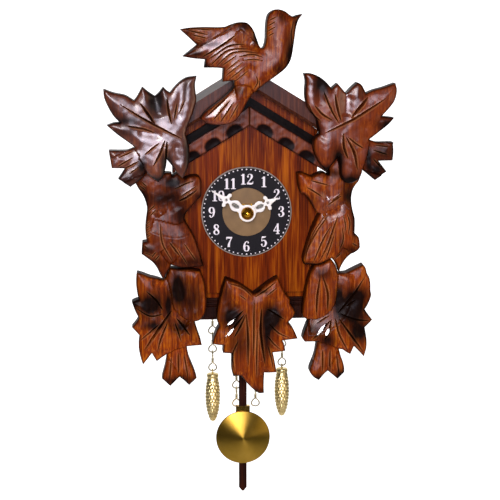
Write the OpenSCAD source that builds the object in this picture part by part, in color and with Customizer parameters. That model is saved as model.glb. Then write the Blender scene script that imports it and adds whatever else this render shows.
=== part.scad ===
// Miniature battery clock in the cuckoo style: a house-shaped case with carved leaves and birds,
// a pendulum, and two pine-cone weights on decorative chains.
// Frame: the origin is the centre of the hanging hole on the wall plane, +Z is up, the dial faces -Y.

/* [Case] */
// Width of the case across its side boards
case_w = 68; // [66:1:70]
// Height of the lower edge of the front panel, below the hanging hole
panel_bottom = -97; // [-99:0.5:-96]
// Depth from the wall to the front panel's face
panel_front = 36; // [35.5:0.5:36.5]
// Thickness of the front panel
panel_t = 4; // [4:0.5:4.5]
// Thickness of the side boards
side_t = 3; // [2.5:0.5:3]
// Thickness of the back board
back_t = 4; // [4:0.5:5]
// Thickness of the base board
base_t = 4; // [3:0.5:4]
// Height of the underside of the base moulding, below the hanging hole
case_bottom = -111.3; // [-112:0.1:-110.5]

/* [Roof] */
// Slope of the roof boards, in degrees
roof_slope = 31.5; // [30:0.5:33]
// Height of the roof's outer ridge above the hanging hole
ridge_z = 15.3; // [15:0.1:16]
// Thickness of the roof boards
roof_t = 8.3; // [7.5:0.1:8.5]
// Overhang of the roof in front of the front panel
overhang = 10; // [9:0.5:11]
// Half the width of the roof, measured at its top edge
roof_half = 41; // [39:0.5:43]
// Half the width of the gable trim, which runs past the case under the roof
trim_half = 38.2; // [37:0.1:39]

/* [Dial] */
// Sideways offset of the dial and movement from the middle of the case
dial_x = -1.4; // [-2:0.1:0]
// Height of the dial's centre, below the hanging hole
dial_z = -56; // [-57:0.5:-55]
// Diameter of the dial
dial_d = 45.2; // [44:0.2:46]
// Diameter of the plain disc in the middle of the dial
centre_d = 24.2; // [22:0.2:26]
// Length of the minute hand from its centre to its tip
minute_len = 21; // [19:0.5:21]
// Length of the hour hand from its centre to its tip
hour_len = 17; // [15:0.5:18]
// Angle of the minute hand past twelve, in degrees
minute_angle = -57; // [-180:1:180]
// Angle of the hour hand past twelve, in degrees
hour_angle = 65; // [-180:1:180]

/* [Pendulum] */
// Sideways offset of the pendulum from the middle of the case
pendulum_x = -2.1; // [-2.5:0.1:-1.5]
// Diameter of the pendulum's bob
bob_d = 28.2; // [26:0.2:29]
// Height of the bob's centre, below the hanging hole
bob_z = -177.1; // [-179:0.1:-176]
// Height of the pendulum stick's tip, below the hanging hole
stick_tip = -206.6; // [-208:0.1:-205]
// Width of the pendulum stick
stick_w = 4; // [3.4:0.1:4.2]

/* [Weights and chains] */
// Diameter of the chain's wire
wire_d = 0.7; // [0.6:0.05:0.75]
// Distance from one chain link to the next
link_pitch = 9.9; // [9.8:0.1:10]
// Largest diameter of the pine-cone weights
cone_d = 8.2; // [7.4:0.1:8.6]
// Length of the pine-cone weights, without their eyes
cone_len = 26; // [24:0.5:27]

/* [Hidden] */
// Smoothness of round shapes
$fn = 64;
tan_s = tan(roof_slope);
cos_s = cos(roof_slope);
sin_s = sin(roof_slope);
case_half = case_w / 2;
panel_back = panel_front - panel_t;
roof_front = panel_front + overhang;
ridge_under = ridge_z - roof_t / cos_s;
base_top = -104.5;
inner_half = case_half - side_t;
running = 0.05;   // running clearance between a shaft and its hole
seat = 0.02;      // clearance of a pushed-on fit
touch = 0.1;      // gap between glued pieces whose edges meet

// Gable trim, as heights of lines parallel to the roof, measured at the middle of the gable
fascia_low = -12.9;
fascia_high = -3.5;
groove_high = -1.5;
moulding_high = 1.1;

// Movement, placed about the hands' axis
move_half = 27;
move_front = panel_back;
move_split = 24;
move_back = 16;
move_wall = 1.2;
battery_w = 18.5;
battery_y = 23.4;
battery_r = 7.1;
battery_len = 50.4;

// Gear train: teeth, modules and places about the hands' axis
work_mod = 0.43;
minute_teeth = 10;
motion_teeth = 30;
motion_pinion_teeth = 8;
hour_teeth = 32;
work_dist = work_mod * (minute_teeth + motion_teeth) / 2;
work_dir = 15;
pinion_teeth = 8;
drive_teeth = 64;
drive_mod = 0.29;
third_teeth = 60;
third_dist = drive_mod * (pinion_teeth + drive_teeth) / 2;
third_mod = 2 * third_dist / (third_teeth + pinion_teeth);
third_dir = 215;
seconds_teeth = 60;
seconds_mod = 0.3;
step_pinion_teeth = 10;
step_dist = seconds_mod * (seconds_teeth + step_pinion_teeth) / 2;
step_dir = -50;
step_teeth = 60;
step_mod = 0.25;
rotor_teeth = 12;
rotor_dist = step_mod * (step_teeth + rotor_teeth) / 2;
rotor_dir = -20;
arbor_r = 0.5;
minute_arbor_r = 1.6;
hour_pipe_r = 2.5;
bush_r = 3.4;

// Depth of each wheel's front face, measured from the wall
hour_y = 30.4;
motion_y = 28.5;
drive_y = 26.4;
third_y = 24.4;
seconds_y = 22.4;
step_y = 20.4;
wheel_t = 1;

motion_at = polar(work_dist, work_dir);
setting_at = polar(2 * work_dist, work_dir);
third_at = polar(third_dist, third_dir);
step_at = polar(step_dist, step_dir);
rotor_at = step_at + polar(rotor_dist, rotor_dir);

motion_phase = mesh(0, minute_teeth, work_dir, motion_teeth);
setting_phase = mesh(motion_phase, motion_teeth, work_dir, minute_teeth);
hour_phase = mesh(0, motion_pinion_teeth, work_dir + 180, hour_teeth);
drive_phase = mesh(0, pinion_teeth, third_dir + 180, drive_teeth);
seconds_pinion_phase = mesh(0, third_teeth, third_dir + 180, pinion_teeth);
step_pinion_phase = mesh(0, seconds_teeth, step_dir, step_pinion_teeth);
rotor_phase = mesh(0, step_teeth, rotor_dir, rotor_teeth);

// Hands and their axis, as depths from the wall
dial_front = panel_front + 1;
bush_end = 39;
hour_hand_y = 39.9;
minute_hand_y = 42;
hand_t = 0.4;

// Pendulum
pivot_z = -87;
stick_y = 20;
stick_t = 1.5;
stick_top = -97;

// Chain strands: place across the case, number of links, height of the lowest point
chain_y = 12;
loop_h = (link_pitch + 2 * wire_d - 1.9) / 2;
left_cone_top = -144.9;
right_cone_top = -142.8;
eye_up = 2.65;
left_cone_x = -17.3;
right_cone_x = 19.2;
free_left_x = -4.8;
free_right_x = 5.2;
free_bottom = -163.4;
strands = [
    [left_cone_x, 4, left_cone_top + eye_up - 2 * wire_d - running],
    [free_left_x, 6, free_bottom],
    [free_right_x, 6, free_bottom],
    [right_cone_x, 4, right_cone_top + eye_up - 2 * wire_d - running]
];
staple_r = 0.4;
staple_half = 3.8;

// Carved outlines, as [x, z] points. A third number marks a sharp corner.
upper_left_outline = [
    [-71, 6, 1], [-66.1, 4.2], [-60.6, 3], [-56.5, 0.5, 1], [-54.9, 2.7], [-52.5, 7, 1], [-49.5, 4.5],
    [-46.5, 2.5, 1], [-44.5, 4.3], [-42.5, 6.9, 1], [-41, 5.3], [-39.3, 4.2, 1], [-37, 7], [-34.2, 9.6],
    [-31.2, 11.3], [-26.5, 12, 1], [-27.3, 8], [-27, 4], [-26.7, 1], [-27.5, -2.5], [-29, -7],
    [-31, -12], [-32, -15.5, 1], [-30.7, -20], [-30.2, -25], [-30.7, -30.3], [-32, -34],
    [-33.6, -37.2, 1], [-36.4, -34.4], [-38.2, -31.5], [-41.1, -27.9, 1], [-41.5, -31], [-43, -36],
    [-45.5, -38.7, 1], [-49, -36], [-51.2, -34, 1], [-52.7, -36.2, 1], [-58.7, -41, 1],
    [-64.6, -37.2, 1], [-61.2, -32.2, 1], [-67.6, -32, 1], [-68.9, -23.3, 1], [-62, -23.4],
    [-59, -23], [-56.3, -21.8, 1], [-60, -19], [-64.8, -15.5], [-69.6, -11.3, 1], [-66.4, -10.2],
    [-63.3, -10, 1], [-66.2, -7], [-68.6, -3], [-70.6, 1.8]
];
upper_right_outline = [
    [25.2, 13, 1], [28.5, 13], [32, 11.7], [35.5, 9.2], [38.5, 5.8, 1], [41.3, 8.3, 1], [43.3, 6],
    [45.6, 3.3, 1], [48, 6], [51, 8.7, 1], [53, 7.5], [55.3, 3.4, 1], [59, 5], [63.5, 6.2],
    [69.5, 8.3, 1], [70.3, 4.8], [69.5, 0.5], [67.3, -3], [63, -7.8, 1], [66, -8], [69.2, -8.4, 1],
    [66.5, -11.6], [62.5, -14.8], [57, -19, 1], [61, -20.3], [65.5, -20.3], [69, -20.3, 1],
    [69.4, -25], [69, -29.4, 1], [62.2, -29.6, 1], [66.2, -34.8, 1], [60.2, -38.8, 1], [54, -33.7, 1],
    [53.4, -36], [52.2, -38.2], [49.2, -39.8], [46.2, -40], [44, -38], [43, -32], [42.2, -26.8, 1],
    [39.7, -30], [36, -34, 1], [33.5, -31], [31.5, -27.5], [30.2, -24], [30, -20], [31, -17.5],
    [32.8, -16, 1], [31.9, -12], [31.5, -9], [29, -6], [27, -3], [26, 1], [25.8, 5], [26, 9.5]
];
top_bird_outline = [
    [24, 41.2, 1], [21.5, 40.7], [19.5, 40], [17.5, 41], [15.5, 42.5], [12.3, 43.4], [9.5, 42.6],
    [7.5, 40.5], [6.7, 36], [6.5, 30], [6, 27], [5, 25.2], [3.5, 26], [2, 29.8], [0.5, 33.6],
    [-2.3, 36.9], [-6, 37.3], [-9.5, 36.4], [-12.5, 35.2, 1], [-16, 35], [-22.5, 35.1], [-29.5, 34.8],
    [-34.3, 34, 1], [-30.5, 30.6], [-26.3, 26.7, 1], [-33.2, 21.3, 1], [-28, 20.4], [-22.3, 19.9, 1],
    [-22.9, 16, 1], [-18, 16], [-13.8, 15.7, 1], [-14.3, 9.3, 1], [-11.4, 9.6], [-8.8, 9.9, 1],
    [-8.8, 7, 1], [-12.5, 3], [-17.5, -1], [-22.3, -4.8], [-25, -8.2, 1], [-22, -10.3], [-18, -11.2],
    [-13, -11.1], [-9, -9.8], [-6.2, -7], [-3.2, -1.6], [-1, 2.2], [1.5, 4.6], [5, 7.5], [8, 9.6],
    [12.7, 13], [16, 15.8], [18.3, 19.5], [19.3, 24], [20.3, 31], [20.9, 35], [22, 38.5]
];
left_bird_outline = [
    [-57, -39, 1], [-54, -34.5], [-48, -34], [-44, -35.3], [-41.5, -35.2], [-38.6, -35.4, 1],
    [-38.5, -36.9, 1], [-36.2, -35.6], [-34.2, -36.4], [-32, -38], [-29.8, -37], [-27.6, -36.8],
    [-25.4, -37.2], [-24.3, -39.5],
    [-24.2, -44.5], [-24.6, -47.3], [-26.7, -49.2], [-29.7, -52.7], [-31.8, -55.2], [-32.4, -57.6],
    [-31.7, -60], [-29.8, -63.6], [-27.8, -67.2], [-26.3, -71.2], [-24.9, -75.7], [-23.2, -81.7, 1],
    [-30, -82.4], [-35, -82.2], [-39.3, -81, 1], [-40.3, -83], [-41.9, -85.6], [-43.2, -88.2, 1],
    [-44.8, -85.5], [-46.2, -82.5], [-48.2, -79.7], [-51, -77.4], [-53.8, -75.3, 1], [-53.3, -69.5, 1],
    [-51, -69.1, 1], [-51.5, -67], [-51.8, -63], [-51.4, -58.4], [-50.8, -54], [-51.3, -50],
    [-52.7, -46.2], [-54.8, -43]
];
right_bird_outline = [
    [30.4, -37.9, 1], [32.6, -36.7], [34.2, -36], [36, -35.6], [38.4, -36.8, 1],
    [38.5, -32.5, 1], [42, -27.9], [45, -28.4], [50, -31], [55, -34.6, 1],
    [54.5, -37.6], [53.5, -40.3], [51.8, -42.5], [50.6, -45], [50.1, -48], [50.2, -51.6], [51, -55.5],
    [51.9, -59], [52, -63], [51.9, -66.3, 1], [53.9, -68.2], [54.5, -70.8], [54.7, -73.4, 1],
    [53.5, -75], [50.2, -77.1], [47.6, -79.7], [45.5, -83], [44.4, -85.8, 1], [43.9, -84.2],
    [42.6, -81.2], [40.4, -78.8, 1], [36, -80.8], [32.2, -81.9], [26.6, -81.4, 1], [26.3, -79],
    [27.5, -74], [29, -69], [30.7, -64], [32.6, -59.8], [34.3, -56.2, 1], [32.6, -55.4], [29.9, -50.8],
    [27.3, -47.1], [24.8, -45.8, 1], [23.7, -41.5], [23.2, -36.2, 1], [24.7, -35.9], [26.2, -36],
    [27.6, -36.6], [29.1, -37.3]
];
lower_left_outline = [
    [-39.8, -82.6, 1], [-35, -83.2], [-29.9, -83.6], [-24.9, -84.5, 1], [-22.9, -90], [-22, -97],
    [-22, -102], [-22.8, -106], [-25.1, -109.2], [-27.8, -110, 1], [-26.4, -115], [-24.9, -119.5],
    [-24.3, -122.1, 1], [-31.8, -122.6, 1], [-31, -127.6], [-29.5, -131.8], [-27.8, -136.2],
    [-27, -139, 1], [-30.8, -142.7, 1], [-35.6, -138.2, 1], [-40.3, -142.9, 1], [-44.4, -138.9, 1],
    [-43.8, -136.4], [-42.8, -132.8], [-42.1, -128.8], [-42, -126.5, 1], [-44.5, -128.2],
    [-46.9, -130, 1], [-48.3, -127.6], [-49.3, -125.8, 1], [-51.5, -128.7], [-53.8, -131.6, 1],
    [-55, -127.5], [-55.8, -123], [-55.7, -119.5], [-55.2, -116.8, 1], [-59, -112.4, 1], [-57, -110],
    [-55.6, -107.7, 1], [-57.4, -104], [-58.9, -99.6, 1], [-57.3, -98.8], [-55.5, -98.3, 1],
    [-56.2, -95], [-56.7, -90], [-56.3, -85.5], [-55.8, -84.8, 1], [-52.7, -85.8], [-49.8, -87],
    [-46.3, -87.9], [-43.2, -89.1, 1], [-42.2, -87.5], [-41, -85]
];
lower_right_outline = [
    [32.3, -82.3, 1], [36.3, -81.3], [40.2, -79.3, 1], [42.2, -81.6], [43.4, -84.5], [43.9, -86.6, 1],
    [47.8, -86.5], [50.3, -85.4], [53.8, -83.7], [56.7, -82.4, 1], [57.9, -84.2], [58.6, -86.8],
    [59.8, -89], [60.4, -92.3], [60.5, -95.8], [60.9, -97.6], [60.4, -99.9], [59.2, -102.8],
    [57.7, -105.3, 1], [59.3, -107.6], [61.6, -110.6, 1], [59.8, -112.6], [57.8, -114.6, 1],
    [58.4, -117.6], [58.9, -121.2], [58.8, -125.2], [57.6, -129.7, 1], [55.5, -127.3],
    [52.5, -124.2, 1], [51.6, -126.1], [50.7, -128.3, 1], [48.5, -127.1], [46.7, -125.8],
    [44.9, -125.5, 1], [45.7, -128.6], [47, -132.3], [47.7, -135.4], [47.7, -137.5, 1],
    [44.3, -141, 1], [39.3, -136.6, 1], [34.8, -141.6, 1], [32, -139.8], [30.1, -137.2, 1],
    [30.3, -135], [31.7, -131.5], [33, -127.3], [33.8, -121.4, 1], [27.5, -121.4, 1],
    [26.3, -119.8, 1], [26.8, -117.4], [28.2, -113.4], [29.5, -110.2, 1], [28.3, -109.7],
    [26.5, -108.7, 1], [26.2, -106.6], [26.7, -102], [27.4, -96.3], [28.6, -90.7], [29.9, -86.2]
];
centre_outline = [
    [-12.4, -88.3, 1], [-9, -89.6], [-5, -91.6], [1.7, -96.3, 1], [5, -93.8], [9, -90.8],
    [13.6, -88, 1], [15, -91.5], [17.2, -96], [19.6, -99], [19.8, -101.5], [21.7, -104.3],
    [22.2, -106.6], [20.9, -109], [18.8, -111.2, 1], [20.4, -113], [22, -115.3], [23.8, -119.5, 1],
    [20, -119.9], [16.1, -120.3, 1], [17, -122.4], [17.6, -125.6, 1], [14.5, -126.1],
    [11.3, -126.4, 1], [12.2, -131], [13.2, -136.7, 1], [7, -136.8, 1], [6.7, -142], [6.8, -147.2, 1],
    [4.5, -147.3], [2.3, -146], [-1.5, -142.2], [-4.6, -138, 1], [-8.7, -138.2, 1], [-9.3, -135],
    [-9.3, -126.5, 1], [-13.8, -126.1, 1], [-13.5, -122.2, 1], [-16, -122], [-19, -121.4, 1],
    [-18.4, -118.5], [-17, -114.8], [-15.8, -112.3], [-16.8, -109], [-16.5, -104], [-15.4, -98.5],
    [-14.2, -93.5]
];
leaf_t = 9;
bird_t = 10;
top_bird_t = 11;

// ---- shared functions and shapes ----

function polar(r, a) = [r * cos(a), r * sin(a)];

// Phase of a wheel of n2 teeth that meshes with one of n1 teeth and the given phase, towards angle a
function mesh(phase, n1, a, n2) = a + 180 + 180 / n2 - (phase - a) * n1 / n2;

function flat(p) = [p[0], p[1]];
function sharp(p) = len(p) > 2;
function hermite(a, b, ta, tb, t) =
    a * (2 * pow(t, 3) - 3 * pow(t, 2) + 1) + ta * (pow(t, 3) - 2 * pow(t, 2) + t)
    + b * (3 * pow(t, 2) - 2 * pow(t, 3)) + tb * (pow(t, 3) - pow(t, 2));

// A closed outline through the points: smooth curves between the sharp corners
function smooth(p, steps = 3) = [
    for (i = [0 : len(p) - 1])
        let (
            n = len(p), here = p[i], next = p[(i + 1) % n],
            a = flat(here), b = flat(next),
            before = flat(p[(i + n - 1) % n]), after = flat(p[(i + 2) % n]),
            ta = sharp(here) ? b - a : (b - before) / 2,
            tb = sharp(next) ? b - a : (after - a) / 2
        )
        each sharp(here) && sharp(next)
            ? [a]
            : [for (k = [0 : steps - 1]) hermite(a, b, ta, tb, k / steps)]
];

// Stands a flat drawing in x and z up, from depth back to depth front in front of the wall
module upright(back, front) {
    translate([0, -back, 0]) rotate([90, 0, 0]) linear_extrude(front - back) children();
}

// A round bar along Y from depth back to depth front
module bar(x, z, r, back, front) {
    translate([x, -back, z]) rotate([90, 0, 0]) cylinder(r = r, h = front - back);
}

module carving(points, back, thick) {
    upright(back, back + thick) polygon(smooth(points));
}

// The gable's outline down to a straight lower edge: apex height, half width, lower edge
module gable(apex, half, low) {
    eaves = apex - half * tan_s;
    polygon([[0, apex], [half, eaves], [half, low], [-half, low], [-half, eaves]]);
}

// A strip parallel to the roof on the right half of the gable, between two heights at the middle
module gable_strip(low, high, half) {
    polygon([[0, high], [half, high - half * tan_s], [half, low - half * tan_s], [0, low]]);
}

module left_half() { mirror([1, 0, 0]) children(); }

// A spur wheel's outline: narrow straight-sided teeth that run with backlash
module teeth(n, mod, phase) {
    pitch = 360 / n;
    root = mod * (n / 2 - 1.1);
    tip = mod * (n / 2 + 0.75);
    polygon([
        for (i = [0 : n - 1])
            each [
                polar(root, phase + pitch * (i - 0.24)),
                polar(tip, phase + pitch * (i - 0.085)),
                polar(tip, phase + pitch * (i + 0.085)),
                polar(root, phase + pitch * (i + 0.24))
            ]
    ]);
}

// A spur wheel about a point of the movement, with its front face at the given depth
module wheel(at, n, mod, phase, y, t = wheel_t) {
    translate([dial_x + at[0], 0, dial_z + at[1]]) upright(y - t, y) teeth(n, mod, phase);
}

module arbor(at, r, back, front) { bar(dial_x + at[0], dial_z + at[1], r, back, front); }

// A countersunk wood screw that stands in from the wall: head flush at the given depth
module screw(x, z, depth, head_r, shank_r, len) {
    translate([x, -depth, z]) rotate([90, 0, 0]) {
        difference() {
            union() {
                cylinder(r1 = head_r, r2 = shank_r, h = 1);
                translate([0, 0, 0.9]) cylinder(r = shank_r, h = len - 1.9);
                translate([0, 0, len - 1]) cylinder(r1 = shank_r, r2 = 0.1, h = 1);
            }
            translate([-head_r, -0.15, -0.1]) cube([2 * head_r, 0.3, 0.5]);
        }
    }
}

// The hole that a countersunk screw sits in
module screw_hole(x, z, depth, head_r, shank_r, len) {
    translate([x, -depth + 0.01, z]) rotate([90, 0, 0]) {
        cylinder(r1 = head_r + 0.06, r2 = shank_r + 0.06, h = 1.01);
        cylinder(r = shank_r + 0.05, h = len + 0.1);
    }
}

// ---- case ----

module front_board() {
    color("#8a4a2a") difference() {
        union() {
            upright(panel_back, panel_front) gable(ridge_under - touch, case_half, panel_bottom);
            upright(panel_back, panel_back + 1) translate([-case_half, case_bottom + 11.3])
                square([case_w, panel_bottom - case_bottom - 11.3 + 1]);
        }
        bar(dial_x, dial_z, bush_r + 0.1, panel_back - 1, panel_front + 1);
    }
}

// Right side board; its top follows the underside of the roof
module side_board() {
    upright(back_t, panel_back)
        polygon([
            [inner_half, case_bottom + 1], [case_half, case_bottom + 1],
            [case_half, ridge_under - touch - case_half * tan_s],
            [inner_half, ridge_under - touch - inner_half * tan_s]
        ]);
}

module side_board_left() { color("#5a2a16") left_half() side_board(); }

module side_board_right() { color("#5a2a16") side_board(); }

module base_board() {
    slot_half = 8;
    color("#5a2a16") difference() {
        translate([-inner_half, -panel_back, base_top - base_t])
            cube([2 * inner_half, panel_back - back_t, base_t]);
        translate([pendulum_x - slot_half, -24, base_top - base_t - 1])
            cube([2 * slot_half, 8, base_t + 2]);
        for (s = strands) {
            translate([s[0], -chain_y, base_top - base_t - 1]) cylinder(r = 3.2, h = base_t + 2);
            for (side = [-1, 1])
                translate([s[0] + side * staple_half, -chain_y, base_top - 3])
                    cylinder(r = staple_r + seat, h = 4);
        }
    }
}

// Front strip and two returns of the ridged moulding round the foot of the case
module base_moulding() {
    top = case_bottom + 11.3;
    profile = [
        [0, top], [-1.3, top], [-1.7, top - 0.4], [-1.7, top - 1.1], [-1, top - 1.6], [-1, top - 2],
        [-1.8, top - 2.4], [-1.8, top - 3.2], [-1, top - 3.7], [-1, top - 4.1], [-2, top - 4.7],
        [-2, case_bottom + 1.4], [-1.6, case_bottom + 0.6], [-1.2, case_bottom], [0, case_bottom]
    ];
    color("#4a2012") {
        translate([-case_half - 2, -panel_back, 0]) rotate([90, 0, 90])
            linear_extrude(case_w + 4) polygon(profile);
        for (side = [0, 1]) mirror([side, 0, 0])
            translate([case_half, -panel_back, 0]) rotate([90, 0, 180])
                linear_extrude(panel_back - back_t) polygon(profile);
    }
}

// Right roof board, with a bevel along the lower edge of its front
module roof_board() {
    eave = [roof_half, ridge_z - roof_half * tan_s];
    difference() {
        upright(back_t, roof_front)
            polygon([[0, ridge_z], eave, eave - roof_t * [sin_s, cos_s], [0, ridge_under]]);
        translate([0, -roof_front, ridge_under]) rotate([0, roof_slope, 0]) rotate([45, 0, 0])
            cube([3 * roof_half, 2.2, 2.2], center = true);
    }
}

module roof_board_left() { color("#7a3c20") left_half() roof_board(); }

module roof_board_right() { color("#7a3c20") roof_board(); }

module gable_moulding() {
    upright(panel_front, panel_front + 4) gable_strip(groove_high, moulding_high, trim_half);
    upright(panel_front, panel_front + 2) gable_strip(fascia_high, groove_high, trim_half);
}

module gable_moulding_left() { color("#5f2c17") left_half() gable_moulding(); }

module gable_moulding_right() { color("#5f2c17") gable_moulding(); }

module gable_fascia() {
    upright(panel_front, panel_front + 3) gable_strip(fascia_low, fascia_high, trim_half);
}

module gable_fascia_left() { color("#7a3c20") left_half() gable_fascia(); }

module gable_fascia_right() { color("#7a3c20") gable_fascia(); }

plate_low = -12;
plate_high = 8.5;
plate_half = 7;
hang_r = 3.5;
slot_r = 1.6;
slot_top = 4;
plate_screw_x = 4.4;
plate_screw_z = -8.5;
back_screw_z = [-22, -100];

module plate_outline(extra) {
    translate([-plate_half - extra, plate_low - extra])
        square([2 * (plate_half + extra), plate_high - plate_low + 2 * extra]);
}

module back_board() {
    window_half = 27.6;
    color("#6b3a20") difference() {
        upright(0, back_t) gable(ridge_z, case_half, case_bottom + 0.6);
        upright(-1, back_t + 1) translate([-window_half, -90]) square([2 * window_half, 64]);
        upright(-1, 1 + running) plate_outline(running);
        bar(0, 0, 4.6, -1, back_t + 1);
        bar(0, slot_top, 4.6, -1, back_t + 1);
        upright(-1, back_t + 1) translate([-4.6, 0]) square([9.2, slot_top]);
        for (x = [-1, 1]) {
            screw_hole(x * plate_screw_x, plate_screw_z, 0, 1.7, 0.8, 4.5);
            for (z = back_screw_z) screw_hole(x * (case_half - side_t / 2), z, 0, 1.3, 0.6, back_t);
        }
    }
}

module back_screws() {
    color("#b8b8b8") for (x = [-1, 1], z = back_screw_z)
        screw(x * (case_half - side_t / 2), z, 0, 1.3, 0.6, back_t - 0.1);
}

module hanger_plate() {
    color("#b8b4a4") difference() {
        upright(0, 1) plate_outline(0);
        bar(0, 0, hang_r, -1, 2);
        bar(0, slot_top, slot_r, -1, 2);
        upright(-1, 2) translate([-slot_r, 0]) square([2 * slot_r, slot_top]);
        for (x = [-1, 1]) screw_hole(x * plate_screw_x, plate_screw_z, 0, 1.7, 0.8, 2);
    }
}

module hanger_screws() {
    color("#b8b8b8") for (x = [-1, 1]) screw(x * plate_screw_x, plate_screw_z, 0, 1.7, 0.8, 3.9);
}

// Small square blocks glued in the lower front corners of the case
module glue_blocks() {
    size = 5;
    color("#a87848") for (side = [0, 1]) mirror([side, 0, 0])
        translate([inner_half - size, -panel_back, base_top]) cube([size, size, 18]);
}

// ---- carvings ----

module top_bird() { color("#7d3d1c") carving(top_bird_outline, roof_front, top_bird_t); }

module upper_leaf_left() { color("#6e341a") carving(upper_left_outline, roof_front, leaf_t); }

module upper_leaf_right() { color("#6e341a") carving(upper_right_outline, roof_front, leaf_t); }

module side_bird_left() { color("#75380f") carving(left_bird_outline, panel_front, bird_t); }

module side_bird_right() { color("#75380f") carving(right_bird_outline, panel_front, bird_t); }

module lower_leaf_left() { color("#6a2f14") carving(lower_left_outline, panel_front, leaf_t); }

module lower_leaf_right() { color("#6a2f14") carving(lower_right_outline, panel_front, leaf_t); }

module centre_leaf() { color("#7a3a16") carving(centre_outline, panel_front, bird_t); }

// ---- dial and hands ----

module dial_plate() {
    color("#15151a") difference() {
        bar(dial_x, dial_z, dial_d / 2, panel_front, dial_front);
        bar(dial_x, dial_z, bush_r + 0.1, panel_front - 1, dial_front + 1);
    }
}

module dial_centre() {
    color("#c9a877") difference() {
        bar(dial_x, dial_z, centre_d / 2, dial_front, dial_front + 0.4);
        bar(dial_x, dial_z, bush_r + 0.1, dial_front - 1, dial_front + 1);
    }
}

module dial_nut() {
    color("#c8a850") difference() {
        translate([dial_x, -dial_front - 0.4, dial_z]) rotate([90, 0, 0])
            cylinder(r = 4.9, h = 1.1, $fn = 6);
        bar(dial_x, dial_z, bush_r + seat, dial_front, dial_front + 2);
    }
}

// A pierced hand in x and z, pointing up: hub radius, waist, lobes and point from its length
module hand_shape(len, hub, bore) {
    side = [
        [0, 0.15], [hub * 0.45, 0.17], [2.3, 0.33], [2.1, 0.4], [1, 0.5], [1.5, 0.53], [3.3, 0.535],
        [3.9, 0.57], [3, 0.6], [1.4, 0.63], [1.2, 0.7], [0.15, 1]
    ];
    points = [for (p = side) [p[0], p[1] * len]];
    difference() {
        union() {
            circle(r = hub);
            polygon(concat(points, [for (i = [len(side) - 1 : -1 : 1]) [-points[i][0], points[i][1]]]));
        }
        circle(r = bore);
        translate([0, 0.33 * len]) circle(r = 0.9);
        translate([0, 0.57 * len]) circle(r = 0.55);
    }
}

module minute_hand() {
    color("white") translate([dial_x, 0, dial_z]) rotate([0, minute_angle, 0])
        upright(minute_hand_y - hand_t, minute_hand_y)
            hand_shape(minute_len, 4.25, minute_arbor_r + seat);
}

module hour_hand() {
    color("white") translate([dial_x, 0, dial_z]) rotate([0, hour_angle, 0])
        upright(hour_hand_y - hand_t, hour_hand_y)
            hand_shape(hour_len, 4, hour_pipe_r + seat);
}

module hand_cap() {
    color("#c9a227") translate([dial_x, -minute_hand_y, dial_z]) rotate([90, 0, 0]) rotate_extrude()
        polygon([
            [0, 1.1], [minute_arbor_r + seat, 1.1], [minute_arbor_r + seat, 0], [3, 0], [3, 0.9],
            [2.7, 1.8], [2.1, 2.7], [1.2, 3.4], [0, 3.8]
        ]);
}

// ---- movement ----

module minute_arbor() {
    color("#c8a850") difference() {
        union() {
            arbor([0, 0], minute_arbor_r, drive_y - wheel_t - 0.3, minute_hand_y + 1);
            wheel([0, 0], minute_teeth, work_mod, 0, motion_y);
            arbor([0, 0], 2.3, drive_y + 0.15, motion_y - wheel_t);
        }
        arbor([0, 0], arbor_r + running, drive_y - wheel_t - 1, drive_y - wheel_t + 0.7);
    }
}

module hour_wheel() {
    color("#e8e4d8") difference() {
        union() {
            wheel([0, 0], hour_teeth, work_mod, hour_phase, hour_y);
            arbor([0, 0], hour_pipe_r, hour_y - wheel_t, hour_hand_y + 0.2);
        }
        arbor([0, 0], minute_arbor_r + running, hour_y - 3, hour_hand_y + 2);
    }
}

module motion_wheel() {
    color("#e8e4d8") difference() {
        union() {
            wheel(motion_at, motion_teeth, work_mod, motion_phase, motion_y);
            wheel(motion_at, motion_pinion_teeth, work_mod, 0, hour_y, hour_y - motion_y);
        }
        arbor(motion_at, arbor_r + running, motion_y - 2, hour_y + 1);
    }
}

// Knob at the back that sets the time, on an arbor whose pinion turns the motion wheel
module setting_knob() {
    grips = 18;
    color("#d8d4c8") {
        difference() {
            arbor(setting_at, 5, move_back - 3, move_back - 0.3);
            for (i = [0 : grips - 1]) let (p = setting_at + polar(5.2, i * 360 / grips))
                arbor(p, 0.4, move_back - 4, move_back);
        }
        arbor(setting_at, arbor_r, move_back - 0.5, move_front - 0.3);
        wheel(setting_at, minute_teeth, work_mod, setting_phase, motion_y);
    }
}

module spoked(at, n, mod, phase, y, hole_r, hole_at) {
    difference() {
        wheel(at, n, mod, phase, y);
        for (a = [45 : 90 : 359]) arbor(at + polar(hole_at, a), hole_r, y - wheel_t - 1, y + 1);
    }
}

module drive_wheel() {
    color("#e8e4d8") difference() {
        spoked([0, 0], drive_teeth, drive_mod, drive_phase, drive_y, 1.8, 5.6);
        arbor([0, 0], minute_arbor_r + running, drive_y - 2, drive_y + 1);
    }
}

module third_wheel() {
    color("#e8e4d8") {
        spoked(third_at, third_teeth, third_mod, 0, third_y, 1.8, 5.4);
        wheel(third_at, pinion_teeth, drive_mod, 0, drive_y + 0.2, drive_y + 0.2 - third_y);
        arbor(third_at, arbor_r, move_back + 0.1, move_front - 0.3);
    }
}

module seconds_wheel() {
    color("#e8e4d8") {
        spoked([0, 0], seconds_teeth, seconds_mod, 0, seconds_y, 1.8, 5.2);
        wheel([0, 0], pinion_teeth, third_mod, seconds_pinion_phase, third_y + 0.2,
            third_y + 0.2 - seconds_y);
        arbor([0, 0], arbor_r, move_back + 0.1, drive_y - wheel_t + 0.5);
    }
}

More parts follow.
